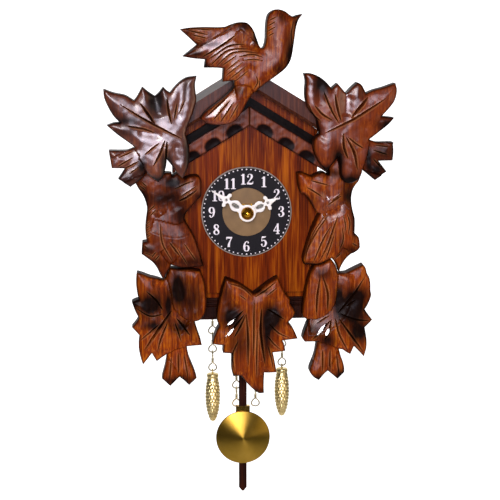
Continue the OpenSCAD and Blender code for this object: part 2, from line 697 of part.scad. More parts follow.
module step_wheel() {
    color("#e8e4d8") {
        spoked(step_at, step_teeth, step_mod, 0, step_y, 1.5, 4.4);
        wheel(step_at, step_pinion_teeth, seconds_mod, step_pinion_phase, seconds_y + 0.2,
            seconds_y + 0.2 - step_y);
        arbor(step_at, arbor_r, move_back + 0.1, move_front - 0.3);
    }
}

module rotor() {
    color("#6a6a70") {
        wheel(rotor_at, rotor_teeth, step_mod, rotor_phase, step_y + 0.2, wheel_t + 0.4);
        arbor(rotor_at, 3, step_y + 0.2, step_y + 2.6);
        arbor(rotor_at, arbor_r, move_back + 0.1, move_front - 0.3);
    }
}

// Soft-iron plate round the rotor, with the core that carries the coil
module stator() {
    color("#9a9aa0") translate([dial_x, 0, dial_z]) difference() {
        union() {
            upright(step_y + 0.9, step_y + 1.9) translate([rotor_at[0] - 4.6, -24.4]) square([9.2, 17.8]);
            upright(step_y + 0.9, step_y + 1.9) translate([-6, -22.5]) square([17, 2]);
        }
        bar(rotor_at[0], rotor_at[1], 3.5, step_y - 1, step_y + 4);
    }
}

module motor_coil() {
    len = 14;
    flange = 0.7;
    color("#a8552a") translate([dial_x - 4.5, -step_y - 1.4, dial_z - 21.5]) rotate([0, 90, 0])
        difference() {
            union() {
                cylinder(r = 2.6, h = len);
                cylinder(r = 3, h = flange);
                translate([0, 0, len - flange]) cylinder(r = 3, h = flange);
            }
            translate([-1.05, -0.55, -1]) cube([2.1, 1.1, len + 2]);
        }
}

board_y = 28;
board_t = 0.8;
board_posts = [-23, -11];

// Circuit board with its sealed chip and the quartz crystal's can
module circuit_board() {
    color("#2f6b3a") translate([dial_x, 0, dial_z]) {
        upright(board_y, board_y + board_t) translate([-25.4, -25.4]) square([17, 8.2]);
        upright(board_y - 1.4, board_y) translate([-21, -23.5]) square([3.4, 3.4]);
        bar(-14, -21.3, 1, board_y - 3.5, board_y);
    }
}

// Front half of the movement's casing, with the threaded bush that clamps the dial
module movement_front() {
    color("#2a2a2c") difference() {
        union() {
            difference() {
                translate([dial_x, 0, dial_z]) upright(move_split, move_front)
                    translate([-move_half, -move_half]) square(2 * move_half);
                translate([dial_x, 0, dial_z]) upright(move_split - 1, move_front - move_wall)
                    translate([move_wall - move_half, move_wall - move_half])
                        square(2 * (move_half - move_wall));
            }
            arbor([0, 0], bush_r, move_front - 0.5, bush_end);
            arbor(motion_at, arbor_r, motion_y - wheel_t - 0.2, move_front - 0.5);
            for (x = board_posts) arbor([x, -21], 0.8, board_y + board_t, move_front - 0.5);
        }
        arbor([0, 0], hour_pipe_r + running, move_front - 2, bush_end + 1);
        for (at = [setting_at, third_at, step_at, rotor_at])
            arbor(at, arbor_r + running, move_front - 2, move_front - 0.25);
    }
}

// Back half of the casing, open where the battery goes in
module movement_back() {
    bay_low = battery_w - battery_r - 0.2;
    bay_high = battery_w + battery_r + 0.1;
    color("#2a2a2c") translate([dial_x, 0, dial_z]) difference() {
        union() {
            difference() {
                upright(move_back, move_split)
                    translate([-move_half, -move_half]) square(2 * move_half);
                upright(move_back + move_wall, move_split + 1)
                    translate([move_wall - move_half, move_wall - move_half])
                        square(2 * (move_half - move_wall));
            }
            upright(move_back, move_split + 6.6) translate([-move_half + 1.3, bay_low - 0.8])
                square([2 * (move_half - 1.3), 0.8]);
            bar(rotor_at[0] + 2, -22.5, 0.8, move_back + 0.5, step_y + 0.9);
            bar(-5.3, -21.5, 0.7, move_back + 0.5, step_y + 0.9);
        }
        upright(move_back - 1, move_back + 2)
            translate([-25.6, bay_low]) square([51.2, bay_high - bay_low]);
        for (at = [[0, 0], third_at, step_at, rotor_at, setting_at])
            bar(at[0], at[1], arbor_r + running, move_back - 1, move_back + 2);
    }
}

module battery_contacts() {
    leaf = 0.4;
    color("#c0c0c4") translate([dial_x, 0, dial_z]) for (side = [0, 1]) mirror([side, 0, 0])
        translate([move_half - move_wall - leaf, -29.5, battery_w - 5]) cube([leaf, 11, 10]);
}

module battery() {
    body = battery_len - 1.3;
    at = [dial_x - battery_len / 2, -battery_y, dial_z + battery_w];
    color("#b07830") translate(at) rotate([0, 90, 0]) {
        cylinder(r = battery_r, h = body);
        translate([0, 0, body - 0.1]) cylinder(r = 2.7, h = 1.4);
    }
}

// ---- pendulum ----

housing_half = 15;
housing_front = 26.5;
housing_back = 16;
housing_low = -97;

// Open-bottomed casing under the movement that holds the pendulum's pivot and drive coil
module pendulum_housing() {
    top = dial_z - move_half;
    color("#2a2a2c") {
        translate([pendulum_x, 0, 0]) difference() {
            upright(housing_back, housing_front) translate([-housing_half, housing_low])
                square([2 * housing_half, top - housing_low - touch]);
            upright(housing_back + 1, housing_front - 1) translate([1 - housing_half, housing_low - 1])
                square([2 * housing_half - 2, top - housing_low - touch]);
        }
        bar(pendulum_x, pivot_z, 0.6, housing_back + 0.5, housing_front - 0.5);
    }
}

module pendulum_coil() {
    color("#a8552a") difference() {
        bar(pendulum_x, -92.5, 4.5, 24, housing_front - 1);
        bar(pendulum_x, -92.5, 1.5, 23, housing_front);
    }
}

// Swinging arm with its drive magnet and the peg that the pendulum hangs on
module pendulum_rocker() {
    color("#d8d4c8") {
        difference() {
            union() {
                bar(pendulum_x, pivot_z, 2.2, 18.6, 22.2);
                upright(stick_y - stick_t / 2, stick_y + 0.9)
                    translate([pendulum_x - 1.6, stick_top + 2.5]) square([3.2, pivot_z - stick_top - 2.5]);
            }
            bar(pendulum_x, pivot_z, 0.6 + running, 16, 24);
        }
        bar(pendulum_x, -92.5, 2.6, stick_y + 0.8, 23.4);
        bar(pendulum_x, stick_top + 3.4, 0.5, 17.6, stick_y);
    }
}

// Wooden stick with a pointed foot and the brass strap that hooks over the rocker's peg
module pendulum_stick() {
    half = stick_w / 2;
    color("#2a1a10") upright(stick_y - stick_t / 2, stick_y + stick_t / 2)
        polygon([
            [pendulum_x - half, stick_top], [pendulum_x + half, stick_top],
            [pendulum_x + half, stick_tip + 2], [pendulum_x + 0.4, stick_tip],
            [pendulum_x - 0.4, stick_tip], [pendulum_x - half, stick_tip + 2]
        ]);
    color("#c8a850") difference() {
        upright(stick_y - stick_t / 2 - 0.5, stick_y - stick_t / 2)
            translate([pendulum_x - 1.2, stick_top - 5]) square([2.4, 10]);
        bar(pendulum_x, stick_top + 3.4, 0.5 + seat, 17, 20);
    }
}

bob_back = stick_y + stick_t / 2 + 0.3;

module pendulum_bob() {
    r = bob_d / 2;
    color("#c2952e") translate([pendulum_x, -bob_back, bob_z]) rotate([90, 0, 0]) rotate_extrude()
        polygon([
            [0, 0], [r - 0.5, 0], [r, 0.4], [r - 0.2, 0.9], [0.62 * r, 2.4], [0.3 * r, 3.3], [0, 3.6]
        ]);
}

// Channel behind the bob that grips the stick
module bob_clip() {
    low = bob_z - 9;
    high = bob_z + bob_d / 2 + 2.6;
    color("#b08a2c") translate([pendulum_x, 0, 0]) difference() {
        union() {
            upright(stick_y - 1.6, bob_back) translate([-3.65, high - 5]) square([7.3, 5]);
            upright(stick_y - 1.6, bob_back) translate([-3.65, low]) square([7.3, 4]);
            upright(stick_y - 1.6, stick_y - 1) translate([-3.65, low]) square([7.3, high - low]);
        }
        upright(stick_y - stick_t / 2 - running, stick_y + stick_t / 2 + running)
            translate([-stick_w / 2 - running, low - 1]) square([stick_w + 2 * running, high - low + 2]);
    }
}

// ---- chains and weights ----

module wire_ring(r) { rotate_extrude() translate([r, 0]) circle(r = wire_d / 2, $fn = 24); }

// One twisted link, with its upper loop edge-on and its lower loop facing the front
module link() {
    loop_r = loop_h / 2 - wire_d / 2;
    up = (link_pitch + 2 * wire_d - loop_h) / 2;
    translate([0, 0, up]) rotate([0, 90, 0]) wire_ring(loop_r);
    translate([0, 0, -up]) rotate([90, 0, 0]) wire_ring(loop_r);
    translate([0, 0, loop_h / 2 - up - 0.2]) cylinder(r = 0.55, h = 2 * up - loop_h + 0.4);
}

// A strand of links that ends at the height given in its row of strands
module strand(i) {
    s = strands[i];
    for (k = [0 : s[1] - 1])
        translate([s[0], -chain_y, s[2] + link_pitch / 2 + wire_d + k * link_pitch]) link();
}

module chain_left_weight() { color("#c9bd92") strand(0); }

module chain_left_free() { color("#c9bd92") strand(1); }

module chain_right_free() { color("#c9bd92") strand(2); }

module chain_right_weight() { color("#c9bd92") strand(3); }

// Wire staples over the chain holes, one for each strand
module chain_staples() {
    color("#b0b0b0") for (s = strands) {
        crown = s[2] + s[1] * link_pitch + wire_d - staple_r - running;
        translate([s[0] - staple_half, -chain_y, crown]) rotate([0, 90, 0])
            cylinder(r = staple_r, h = 2 * staple_half);
        for (side = [-1, 1]) {
            translate([s[0] + side * staple_half, -chain_y, base_top - 2.8])
                cylinder(r = staple_r, h = crown - base_top + 2.8);
            translate([s[0] + side * staple_half, -chain_y, crown]) sphere(r = staple_r);
        }
    }
}

module weight(x, top) {
    r = cone_d / 2;
    color("#c0a050") translate([x, -chain_y, top]) {
        rotate_extrude() polygon([
            [0, 0], [0.62 * r, 0], [0.7 * r, -0.03 * cone_len], [0.72 * r, -0.1 * cone_len],
            [0.9 * r, -0.22 * cone_len], [r, -0.42 * cone_len], [0.95 * r, -0.6 * cone_len],
            [0.7 * r, -0.82 * cone_len], [0.3 * r, -0.97 * cone_len], [0, -cone_len]
        ]);
        translate([0, 0, 1.1]) rotate([0, 90, 0]) wire_ring(1.2);
        translate([0, 0, -0.5]) cylinder(r = 0.5, h = 0.6);
    }
}

module weight_left() { weight(left_cone_x, left_cone_top); }

module weight_right() { weight(right_cone_x, right_cone_top); }

front_board();
side_board_left();
side_board_right();
base_board();
base_moulding();
roof_board_left();
roof_board_right();
gable_moulding_left();
gable_moulding_right();
gable_fascia_left();
gable_fascia_right();
back_board();
back_screws();
hanger_plate();
hanger_screws();
glue_blocks();
top_bird();
upper_leaf_left();
upper_leaf_right();
side_bird_left();
side_bird_right();
lower_leaf_left();
lower_leaf_right();
centre_leaf();
dial_plate();
dial_centre();
dial_nut();
movement_front();
movement_back();
circuit_board();
stator();
motor_coil();
battery_contacts();
battery();
minute_hand();
hand_cap();
minute_arbor();
hour_hand();
hour_wheel();
motion_wheel();
setting_knob();
drive_wheel();
third_wheel();
seconds_wheel();
step_wheel();
rotor();
pendulum_housing();
pendulum_coil();
pendulum_rocker();
pendulum_stick();
pendulum_bob();
bob_clip();
chain_staples();
chain_left_weight();
chain_left_free();
chain_right_free();
chain_right_weight();
weight_left();
weight_right();
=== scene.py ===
"""The looks of a cuckoo-style wall clock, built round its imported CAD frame.

Blender's lengths are metres. The carving tables are in millimetres, in the same frame.
"""
import math

import bpy
import numpy as np
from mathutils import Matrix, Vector
from mathutils.geometry import delaunay_2d_cdt


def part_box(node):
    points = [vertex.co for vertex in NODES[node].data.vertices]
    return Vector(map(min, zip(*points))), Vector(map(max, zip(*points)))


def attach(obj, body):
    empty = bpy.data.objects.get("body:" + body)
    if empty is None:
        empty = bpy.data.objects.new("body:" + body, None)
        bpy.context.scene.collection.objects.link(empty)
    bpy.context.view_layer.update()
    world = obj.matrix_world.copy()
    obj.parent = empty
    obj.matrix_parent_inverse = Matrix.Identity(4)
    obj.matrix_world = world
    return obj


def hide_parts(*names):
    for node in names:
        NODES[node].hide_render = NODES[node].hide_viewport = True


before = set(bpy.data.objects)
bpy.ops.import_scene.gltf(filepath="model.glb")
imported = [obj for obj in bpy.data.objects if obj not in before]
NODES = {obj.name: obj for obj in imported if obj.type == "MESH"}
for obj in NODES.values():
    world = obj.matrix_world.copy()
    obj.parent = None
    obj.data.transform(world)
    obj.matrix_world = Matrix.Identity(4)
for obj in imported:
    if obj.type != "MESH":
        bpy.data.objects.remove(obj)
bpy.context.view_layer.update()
MM = 0.001

# ---------------------------------------------------------------- camera, lights and floor

CAMERA_AT = (-0.056, -0.725, 0.042)
CAMERA_AIM = (0.0004, -0.036, -0.0754)
LENS = 100.8


def aimed(obj, at, aim):
    """Puts an object at a point and turns its -Z axis towards another."""
    obj.location = at
    obj.rotation_euler = (Vector(aim) - Vector(at)).to_track_quat("-Z", "Y").to_euler()
    bpy.context.scene.collection.objects.link(obj)
    return obj


def area_light(name, at, aim, size, power, colour):
    data = bpy.data.lights.new(name, "AREA")
    data.shape = "RECTANGLE"
    data.size, data.size_y = size
    data.energy = power
    data.color = colour
    return aimed(bpy.data.objects.new(name, data), at, aim)


def make_camera():
    data = bpy.data.cameras.new("camera")
    data.lens = LENS
    data.clip_start = 0.01
    bpy.context.scene.camera = aimed(bpy.data.objects.new("camera", data), CAMERA_AT, CAMERA_AIM)


def make_lights():
    middle = (0, -0.04, -0.07)
    area_light("key", (-0.24, -1.05, 0.3), middle, (0.25, 0.25), 4.3, (1.0, 0.93, 0.9))
    window = (-0.1, -1.0, 0.13)
    area_light("window", window, (window[0], 0, window[2]), (0.48, 0.46), 7.5, (0.88, 0.83, 1.0))
    area_light("fill", (0.7, -0.7, -0.05), middle, (0.4, 0.6), 1.3, (1.0, 0.82, 0.62))
    area_light("back_left", (-0.6, 0.55, 0.5), middle, (0.6, 0.6), 1, (1.0, 1.0, 1.0))
    area_light("back_right", (0.6, 0.55, 0.3), middle, (0.6, 0.6), 1, (1.0, 0.97, 0.93))
    world = bpy.data.worlds.new("studio")
    world.use_nodes = True
    background = world.node_tree.nodes["Background"]
    background.inputs["Color"].default_value = (1.0, 0.99, 0.985, 1.0)
    background.inputs["Strength"].default_value = 0.05
    bpy.context.scene.world = world
    bpy.context.scene.view_settings.view_transform = "Standard"


def make_floor():
    """A pale floor well below the clock that sweeps up into a backdrop behind it."""
    half, front, rear, low, radius, steps = 4.0, -1.2, 1.6, -0.75, 0.8, 16
    profile = [(front, low)]
    for i in range(steps + 1):
        turn = math.radians(90 * i / steps)
        profile.append((rear - radius + radius * math.sin(turn), low + radius - radius * math.cos(turn)))
    profile.append((rear, low + 4.0))
    points = [(x, y, z) for y, z in profile for x in (-half, half)]
    faces = [(2 * i, 2 * i + 1, 2 * i + 3, 2 * i + 2) for i in range(len(profile) - 1)]
    floor = mesh_object("floor", points, faces)
    shader = Shader("floor_paper")
    paper = shader.noise(shader.coords(), 30, 3)
    # The backdrop glows where the camera sees it behind the clock, and only faintly further out.
    place = shader.coords((0.5, 0.5, 0.5))
    place.node.inputs["Location"].default_value = (-0.06, -0.72, 0.17)
    glow = shader.tree.nodes.new("ShaderNodeTexGradient")
    glow.gradient_type = "SPHERICAL"
    shader.tree.links.new(place, glow.inputs["Vector"])
    shader.set(
        Base_Color=shader.ramp(paper, [(0.3, 0.93), (0.7, 0.96)]),
        Roughness=0.9,
        Emission_Color=(1.0, 1.0, 1.0),
        Emission_Strength=shader.ramp(glow.outputs["Fac"], [(0.3, 0.12), (0.6, 1.0)]),
    )
    paint(floor, shader.material)


# ---------------------------------------------------------------- materials


class Shader:
    """Builds a node material round one Principled surface."""

    def __init__(self, name):
        self.material = bpy.data.materials.new(name)
        self.material.use_nodes = True
        self.tree = self.material.node_tree
        self.tree.nodes.clear()
        output = self.tree.nodes.new("ShaderNodeOutputMaterial")
        self.surface = self.tree.nodes.new("ShaderNodeBsdfPrincipled")
        self.tree.links.new(self.surface.outputs["BSDF"], output.inputs["Surface"])

    def set(self, **values):
        """Sets or links inputs of the surface, whose names have _ for each space."""
        for name, value in values.items():
            self.plug(self.surface.inputs[name.replace("_", " ")], value)

    def plug(self, socket, value):
        """Links a socket to another one, or gives it a value."""
        if isinstance(value, bpy.types.NodeSocket):
            self.tree.links.new(value, socket)
        elif isinstance(value, tuple) and len(value) == 3 and socket.type == "RGBA":
            socket.default_value = (*value, 1.0)
        else:
            socket.default_value = value

    def coords(self, scale=(1, 1, 1), rotation=(0, 0, 0)):
        place = self.tree.nodes.new("ShaderNodeTexCoord")
        mapping = self.tree.nodes.new("ShaderNodeMapping")
        mapping.inputs["Scale"].default_value = scale
        mapping.inputs["Rotation"].default_value = [math.radians(a) for a in rotation]
        self.tree.links.new(place.outputs["Object"], mapping.inputs["Vector"])
        return mapping.outputs["Vector"]

    def noise(self, vector, scale, detail=4.0, roughness=0.55, distortion=0.0):
        node = self.tree.nodes.new("ShaderNodeTexNoise")
        for name, value in zip(
            ("Vector", "Scale", "Detail", "Roughness", "Distortion"),
            (vector, scale, detail, roughness, distortion),
        ):
            self.plug(node.inputs[name], value)
        return node.outputs["Fac"]

    def ramp(self, factor, stops):
        node = self.tree.nodes.new("ShaderNodeValToRGB")
        ramp = node.color_ramp
        while len(ramp.elements) < len(stops):
            ramp.elements.new(0.5)
        for element, (place, value) in zip(ramp.elements, stops):
            element.position = place
            element.color = (*value, 1) if isinstance(value, tuple) else (value, value, value, 1)
        self.tree.links.new(factor, node.inputs["Fac"])
        return node.outputs["Color"]

    def mix(self, factor, a, b, how="MIX"):
        node = self.tree.nodes.new("ShaderNodeMix")
        node.data_type = "RGBA"
        node.blend_type = how
        self.plug(node.inputs["Factor"], factor)
        self.plug(node.inputs["A"], a)
        self.plug(node.inputs["B"], b)
        return node.outputs["Result"]

    def times(self, a, b):
        return self.math("MULTIPLY", a, b)

    def plus(self, a, b):
        return self.math("ADD", a, b)

    def math(self, how, a, b):
        node = self.tree.nodes.new("ShaderNodeMath")
        node.operation = how
        self.plug(node.inputs[0], a)
        self.plug(node.inputs[1], b)
        return node.outputs["Value"]

    def attribute(self, name):
        node = self.tree.nodes.new("ShaderNodeAttribute")
        node.attribute_name = name
        return node.outputs["Fac"]

    def bump(self, height, strength, distance):
        """Adds a bump on top of those that are there already."""
        node = self.tree.nodes.new("ShaderNodeBump")
        node.inputs["Strength"].default_value = strength
        node.inputs["Distance"].default_value = distance
        self.tree.links.new(height, node.inputs["Height"])
        previous = self.surface.inputs["Normal"]
        if previous.is_linked:
            self.tree.links.new(previous.links[0].from_socket, node.inputs["Normal"])
        self.tree.links.new(node.outputs["Normal"], previous)


def rgb(code):
    """A colour written as RRGGBB, in linear light."""
    parts = [int(code[i : i + 2], 16) / 255 for i in (0, 2, 4)]
    return tuple(p / 12.92 if p <= 0.04045 else ((p + 0.055) / 1.055) ** 2.4 for p in parts)


def stained_wood(name, tones, char_and_shade_colour, lean=0.0, gloss=0.8, fine=1.0, streak=0.5, patchy=0.5):
    """Stained wood under lacquer. Its grain runs up, leaned by an angle.

    Four attributes of the mesh change it: char_and_shade darkens it towards near black, for char and for
    painted shade, rim_highlight lightens it as a painted highlight, shine adds lacquer and polish makes it
    bright.
    """
    shader = Shader(name)

    def noise(along, *settings):
        """Noise that changes more slowly along the grain."""
        return shader.noise(shader.coords((1, 1, along), (0, lean, 0)), *settings)

    dark, middle, light = (rgb(t) for t in tones)
    bands, hair = noise(0.05, 620 * fine, 4, 0.6, 0.5), noise(0.03, 2300 * fine, 2, 0.5)
    grain = shader.plus(shader.times(bands, 0.62), shader.times(hair, 0.38))
    tone = shader.ramp(grain, [(0.5 - 0.08 / streak, dark), (0.5, middle), (0.5 + 0.08 / streak, light)])
    clouds = shader.ramp(noise(0.3, 60, 3, 0.6, 0.4), [(0.35, 0.35), (0.62, 1.0)])
    tone = shader.mix(patchy, tone, clouds, "MULTIPLY")
    # Painted highlight: the rims of the cuts are lightened towards pale tan.
    tone = shader.mix(shader.times(shader.attribute("rim_highlight"), 0.4), tone, rgb("c88a58"))
    # Darkening towards near black: the char of the carving, and painted shade in cuts, in gaps and on side
    # walls.
    char_and_shade_amount = shader.plus(shader.attribute("char_and_shade"), shader.times(noise(0.3, 500, 3), 0.35))
    char_and_shade_amount = shader.ramp(char_and_shade_amount, [(0.22, 0.0), (0.5, 0.5), (0.95, 0.98)])
    coat = shader.math("MINIMUM", 1.0, shader.plus(gloss, shader.attribute("shine")))
    lacquer = shader.times(shader.math("SUBTRACT", 1.0, shader.times(char_and_shade_amount, 0.85)), coat)
    polish = shader.attribute("polish")
    shader.set(
        Base_Color=shader.mix(char_and_shade_amount, tone, rgb(char_and_shade_colour)),
        Roughness=shader.ramp(grain, [(0.3, 0.5), (0.7, 0.42)]),
        Coat_Weight=shader.math("MAXIMUM", lacquer, polish),
        Coat_Roughness=shader.ramp(polish, [(0.3, 0.24), (0.9, 0.06)]),
        Coat_IOR=1.75,
        Specular_IOR_Level=min(0.15, 0.3 * gloss),
    )
    shader.bump(grain, 0.18, 0.00006)
    shader.bump(noise(0.3, 200, 2, 0.5), 0.06, 0.0002)
    return shader.material


def metal(name, code, rough, dirt="3a2a10", scale=700, brushed=(1, 1, 1), strength=0.15):
    shader = Shader(name)
    wear = shader.noise(shader.coords(brushed), scale, 4)
    stain = shader.noise(shader.coords(), 140, 4)
    clean = shader.mix(0.5, rgb(code), shader.ramp(wear, [(0.3, 0.75), (0.7, 1.0)]), "MULTIPLY")
    shader.set(
        Base_Color=shader.mix(shader.ramp(stain, [(0.5, 0.0), (0.8, 0.45)]), clean, rgb(dirt)),
        Roughness=shader.ramp(wear, [(0.3, rough * 0.8), (0.7, rough * 1.35)]),
        Metallic=1.0,
    )
    shader.bump(wear, strength, 0.00005)
    return shader.material


def spun_brass(name, tones, rough):
    """Polished brass with the fine circular lines of spinning, which draw its highlights into rays."""
    shader = Shader(name)
    dark, light = (rgb(t) for t in tones)
    cloud = shader.noise(shader.coords(), 110, 3)
    tangent = shader.tree.nodes.new("ShaderNodeTangent")
    tangent.direction_type = "RADIAL"
    tangent.axis = "Y"
    shader.set(
        Base_Color=shader.ramp(cloud, [(0.3, dark), (0.7, light)]),
        Roughness=shader.ramp(cloud, [(0.3, rough * 0.95), (0.7, rough * 1.08)]),
        Tangent=tangent.outputs["Tangent"],
        Metallic=1.0,
        Anisotropic=0.75,
        Anisotropic_Rotation=0.25,
    )
    return shader.material


def plastic(name, code, rough, coat=0.0, grainy=0.2, mottled=0.12, glare=0.5):
    shader = Shader(name)
    skin = shader.noise(shader.coords(), 3200, 2)
    patch = shader.noise(shader.coords(), 160, 3)
    shade = shader.ramp(patch, [(0.35, 1.0 - mottled), (0.65, 1.0)])
    shader.set(
        Base_Color=shader.mix(1.0, rgb(code), shade, "MULTIPLY"),
        Roughness=shader.ramp(patch, [(0.3, rough), (0.7, min(1.0, rough * 1.3))]),
        Coat_Weight=coat,
        Coat_Roughness=0.1,
        Specular_IOR_Level=glare,
    )
    shader.bump(skin, grainy, 0.00003)
    return shader.material


ROOF_LEAN = 31.5     # how far the roof's sides lean from level, in degrees
ROOF_TONES = ("240d08", "48200f", "6c3820")
FASCIA_TONES = ("3e180b", "6e3016", "985026")


def carved_wood(name, tones, gloss=0.12, streak=0.5, patchy=0.4):
    return stained_wood(name, tones, "080302", gloss=gloss, fine=1.3, streak=streak, patchy=patchy)


def roof_wood(name, tones, side, gloss):
    return stained_wood(name, tones, "080303", lean=side * ROOF_LEAN, gloss=gloss, streak=0.4)


CARVED = carved_wood("carved_wood", ("4c1803", "863405", "bc640c"), patchy=0.45)
CARVED_DARK = carved_wood("carved_wood_dark", ("3c1404", "652506", "8a400a"))
CARVED_BIRD = carved_wood("carved_wood_bird", ("481804", "762b06", "a65c0e"))
CARVED_RED = carved_wood("carved_wood_red", ("431607", "6e2a09", "924612"), 0.18, 0.4)
CARVED_SHINY = carved_wood("carved_wood_shiny", ("3a130a", "602810", "844418"), 0.6, 0.4, 0.5)
ROOF_LEFT = roof_wood("roof_wood_left", ROOF_TONES, -1, 0.1)
ROOF_RIGHT = roof_wood("roof_wood_right", ROOF_TONES, 1, 0.1)
FASCIA_LEFT = roof_wood("fascia_wood_left", FASCIA_TONES, -1, 0.12)
FASCIA_RIGHT = roof_wood("fascia_wood_right", FASCIA_TONES, 1, 0.12)
PANEL = stained_wood(
    "panel_wood", ("481503", "722903", "a8560a"), "080303", gloss=0.04, fine=0.75, streak=0.6, patchy=0.4
)
DARK = stained_wood("dark_wood", ("140806", "2a110a", "3e1c0e"), "060303", gloss=0.08)
# Near black: painted shade for the recess under the roof's overhang.
RECESS_SHADE = stained_wood("recess_painted_shade", ("070403", "0e0806", "18100c"), "040202", gloss=0.02)
RAW = stained_wood("raw_wood", ("9a6f42", "b98a58", "d0a673"), "3a2412", gloss=0.0, streak=0.4)
BRASS = metal("brass", "d0a445", 0.17)
BOB_BRASS = spun_brass("bob_brass", ("9a7a28", "aa8836"), 0.32)
SPUN_CAP = spun_brass("cap_brass", ("b88420", "d0982c"), 0.25)
GILT = metal("gilt", "f2dc9a", 0.36, dirt="8a6a2c", scale=500)
CHAIN = metal("chain_metal", "e6dcb8", 0.3, dirt="8a7846", scale=900)
STEEL = metal("steel", "c4c4c0", 0.3, dirt="6b675e", scale=800)
COPPER = metal("copper_wire", "b4602c", 0.3, scale=1500, brushed=(12, 1, 1), strength=0.6)
MAGNET = metal("magnet", "4a4a4e", 0.5, dirt="222226")
DIAL_BLACK = plastic("dial_black", "121014", 0.42, 0.0, 0.1, glare=0.12)
DIAL_EDGE = plastic("dial_edge", "8d8378", 0.6, 0.0, 0.3)
DIAL_TAN = plastic("dial_tan", "846a49", 0.5, 0.0, 0.25, 0.2, glare=0.15)
PRINT = plastic("dial_print", "e9e4e6", 0.5, 0.0, 0.1, 0.05, glare=0.2)
IVORY = plastic("ivory_plastic", "f2efe6", 0.32, 0.3, 0.08, 0.08)
BLACK = plastic("black_plastic", "1b1b1d", 0.5, 0.0, 0.5)
GEAR = plastic("gear_plastic", "e4dfd0", 0.42, 0.0, 0.15)
BOARD = plastic("circuit_green", "1f5a2c", 0.35, 0.4, 0.2)
WRAP = plastic("battery_wrap", "a8661c", 0.25, 0.6, 0.1)


# ---------------------------------------------------------------- mesh helpers


def mesh_object(name, points, faces, sharp=40):
    mesh = bpy.data.meshes.new(name)
    mesh.from_pydata([tuple(p) for p in points], [], [tuple(f) for f in faces])
    mesh.validate()
    mesh.shade_smooth()
    mesh.set_sharp_from_angle(angle=math.radians(sharp))
    obj = bpy.data.objects.new(name, mesh)
    bpy.context.scene.collection.objects.link(obj)
    return obj


def paint(obj, material):
    obj.data.materials.clear()
    obj.data.materials.append(material)


def fit(obj, material, body, slot, *nodes):
    """Finishes a new piece: its material, its body and the CAD nodes that it stands for. Its slot is not
    used.
    """
    paint(obj, material)
    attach(obj, body)
    if nodes:
        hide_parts(*nodes)


def solid(name, parts, sharp=40):
    """One object from several (points, faces) lists in millimetres."""
    points, faces = [], []
    for more_points, more_faces in parts:
        start = len(points)
        points += list(more_points)
        faces += [[start + i for i in face] for face in more_faces]
    return mesh_object(name, np.array(points) * MM, faces, sharp)


def hermite(a, b, leaving, arriving, steps):
    """The points of a curve from a up to b, but without b, with its direction at each end."""
    return [
        a * (2 * t**3 - 3 * t**2 + 1) + leaving * (t**3 - 2 * t**2 + t)
        + b * (3 * t**2 - 2 * t**3) + arriving * (t**3 - t**2)
        for t in np.arange(steps) / steps
    ]


def refine(points, spacing, corner=28.0):
    """A closed outline redrawn as curves between its corners, with points about a spacing apart."""
    p = np.array(points, float)
    n = len(p)
    step = np.roll(p, -1, 0) - p
    length = np.linalg.norm(step, axis=1)
    unit = step / length[:, None]
    turn = np.degrees(np.arccos(np.clip((unit * np.roll(unit, 1, 0)).sum(1), -1, 1)))
    out = []
    for i in range(n):
        j = (i + 1) % n
        smooth_a = unit[i] + unit[i - 1]
        smooth_b = unit[i] + unit[j]
        start = unit[i] if turn[i] > corner else smooth_a / np.linalg.norm(smooth_a)
        end = unit[i] if turn[j] > corner else smooth_b / np.linalg.norm(smooth_b)
        steps = max(1, round(length[i] / spacing))
        out += hermite(p[i], p[j], start * length[i], end * length[i], steps)
    return np.array(out)


def loops_of(node):
    """The outlines of a node's front face as (x, z), the longest first, and how far back it lies, in mm."""
    mesh = NODES[node].data
    place = np.array([v.co for v in mesh.vertices]) / MM
    front = place[:, 1].min()
    key = [tuple(np.round(v, 3)) for v in place]
    edges = []
    for face in mesh.polygons:
        if all(abs(place[v][1] - front) < 0.01 for v in face.vertices):
            ring = [key[v] for v in face.vertices]
            edges += zip(ring, ring[1:] + ring[:1])
    # An edge of the outline has a face on one side only.
    both_ways = set(edges)
    after = {a: b for a, b in edges if (b, a) not in both_ways}
    loops = []
    while after:
        start = next(iter(after))
        loop, here = [], start
        while here in after:
            loop.append((here[0], here[2]))
            here = after.pop(here)
        loops.append(loop)
    return sorted(loops, key=len, reverse=True), front


def inside(points, loop):
    """Which points lie inside a closed outline."""
    a, b = loop, np.roll(loop, -1, 0)
    px, pz = points[:, 0][:, None], points[:, 1][:, None]
    crosses = (a[:, 1] > pz) != (b[:, 1] > pz)
    rise = np.where(b[:, 1] == a[:, 1], 1e-9, b[:, 1] - a[:, 1])
    at = a[:, 0] + (pz - a[:, 1]) * (b[:, 0] - a[:, 0]) / rise
    return (crosses & (px < at)).sum(1) % 2 == 1


def near_path(points, path, closed=False):
    """Each point's distance to a path, the share of the path passed there, and its side, + on the left."""
    path = np.array(path, float)
    a = path if closed else path[:-1]
    b = np.roll(path, -1, 0) if closed else path[1:]
    d = b - a
    length = np.maximum(np.linalg.norm(d, axis=1), 1e-9)
    rel = points[:, None, :] - a[None]
    t = np.clip((rel * d).sum(2) / length**2, 0, 1)
    off = rel - t[..., None] * d
    gap = np.linalg.norm(off, axis=2)
    best = gap.argmin(1)
    rows = np.arange(len(points))
    before = np.concatenate([[0], np.cumsum(length)])[:-1]
    share = (before[best] + t[rows, best] * length[best]) / length.sum()
    r = rel[rows, best]
    side = np.sign(d[best, 0] * r[:, 1] - d[best, 1] * r[:, 0])
    return gap[rows, best], share, side


def nearest(points, loops):
    """Each point's distance to the nearest of several closed outlines."""
    return np.min([near_path(points, loop, closed=True)[0] for loop in loops], axis=0)


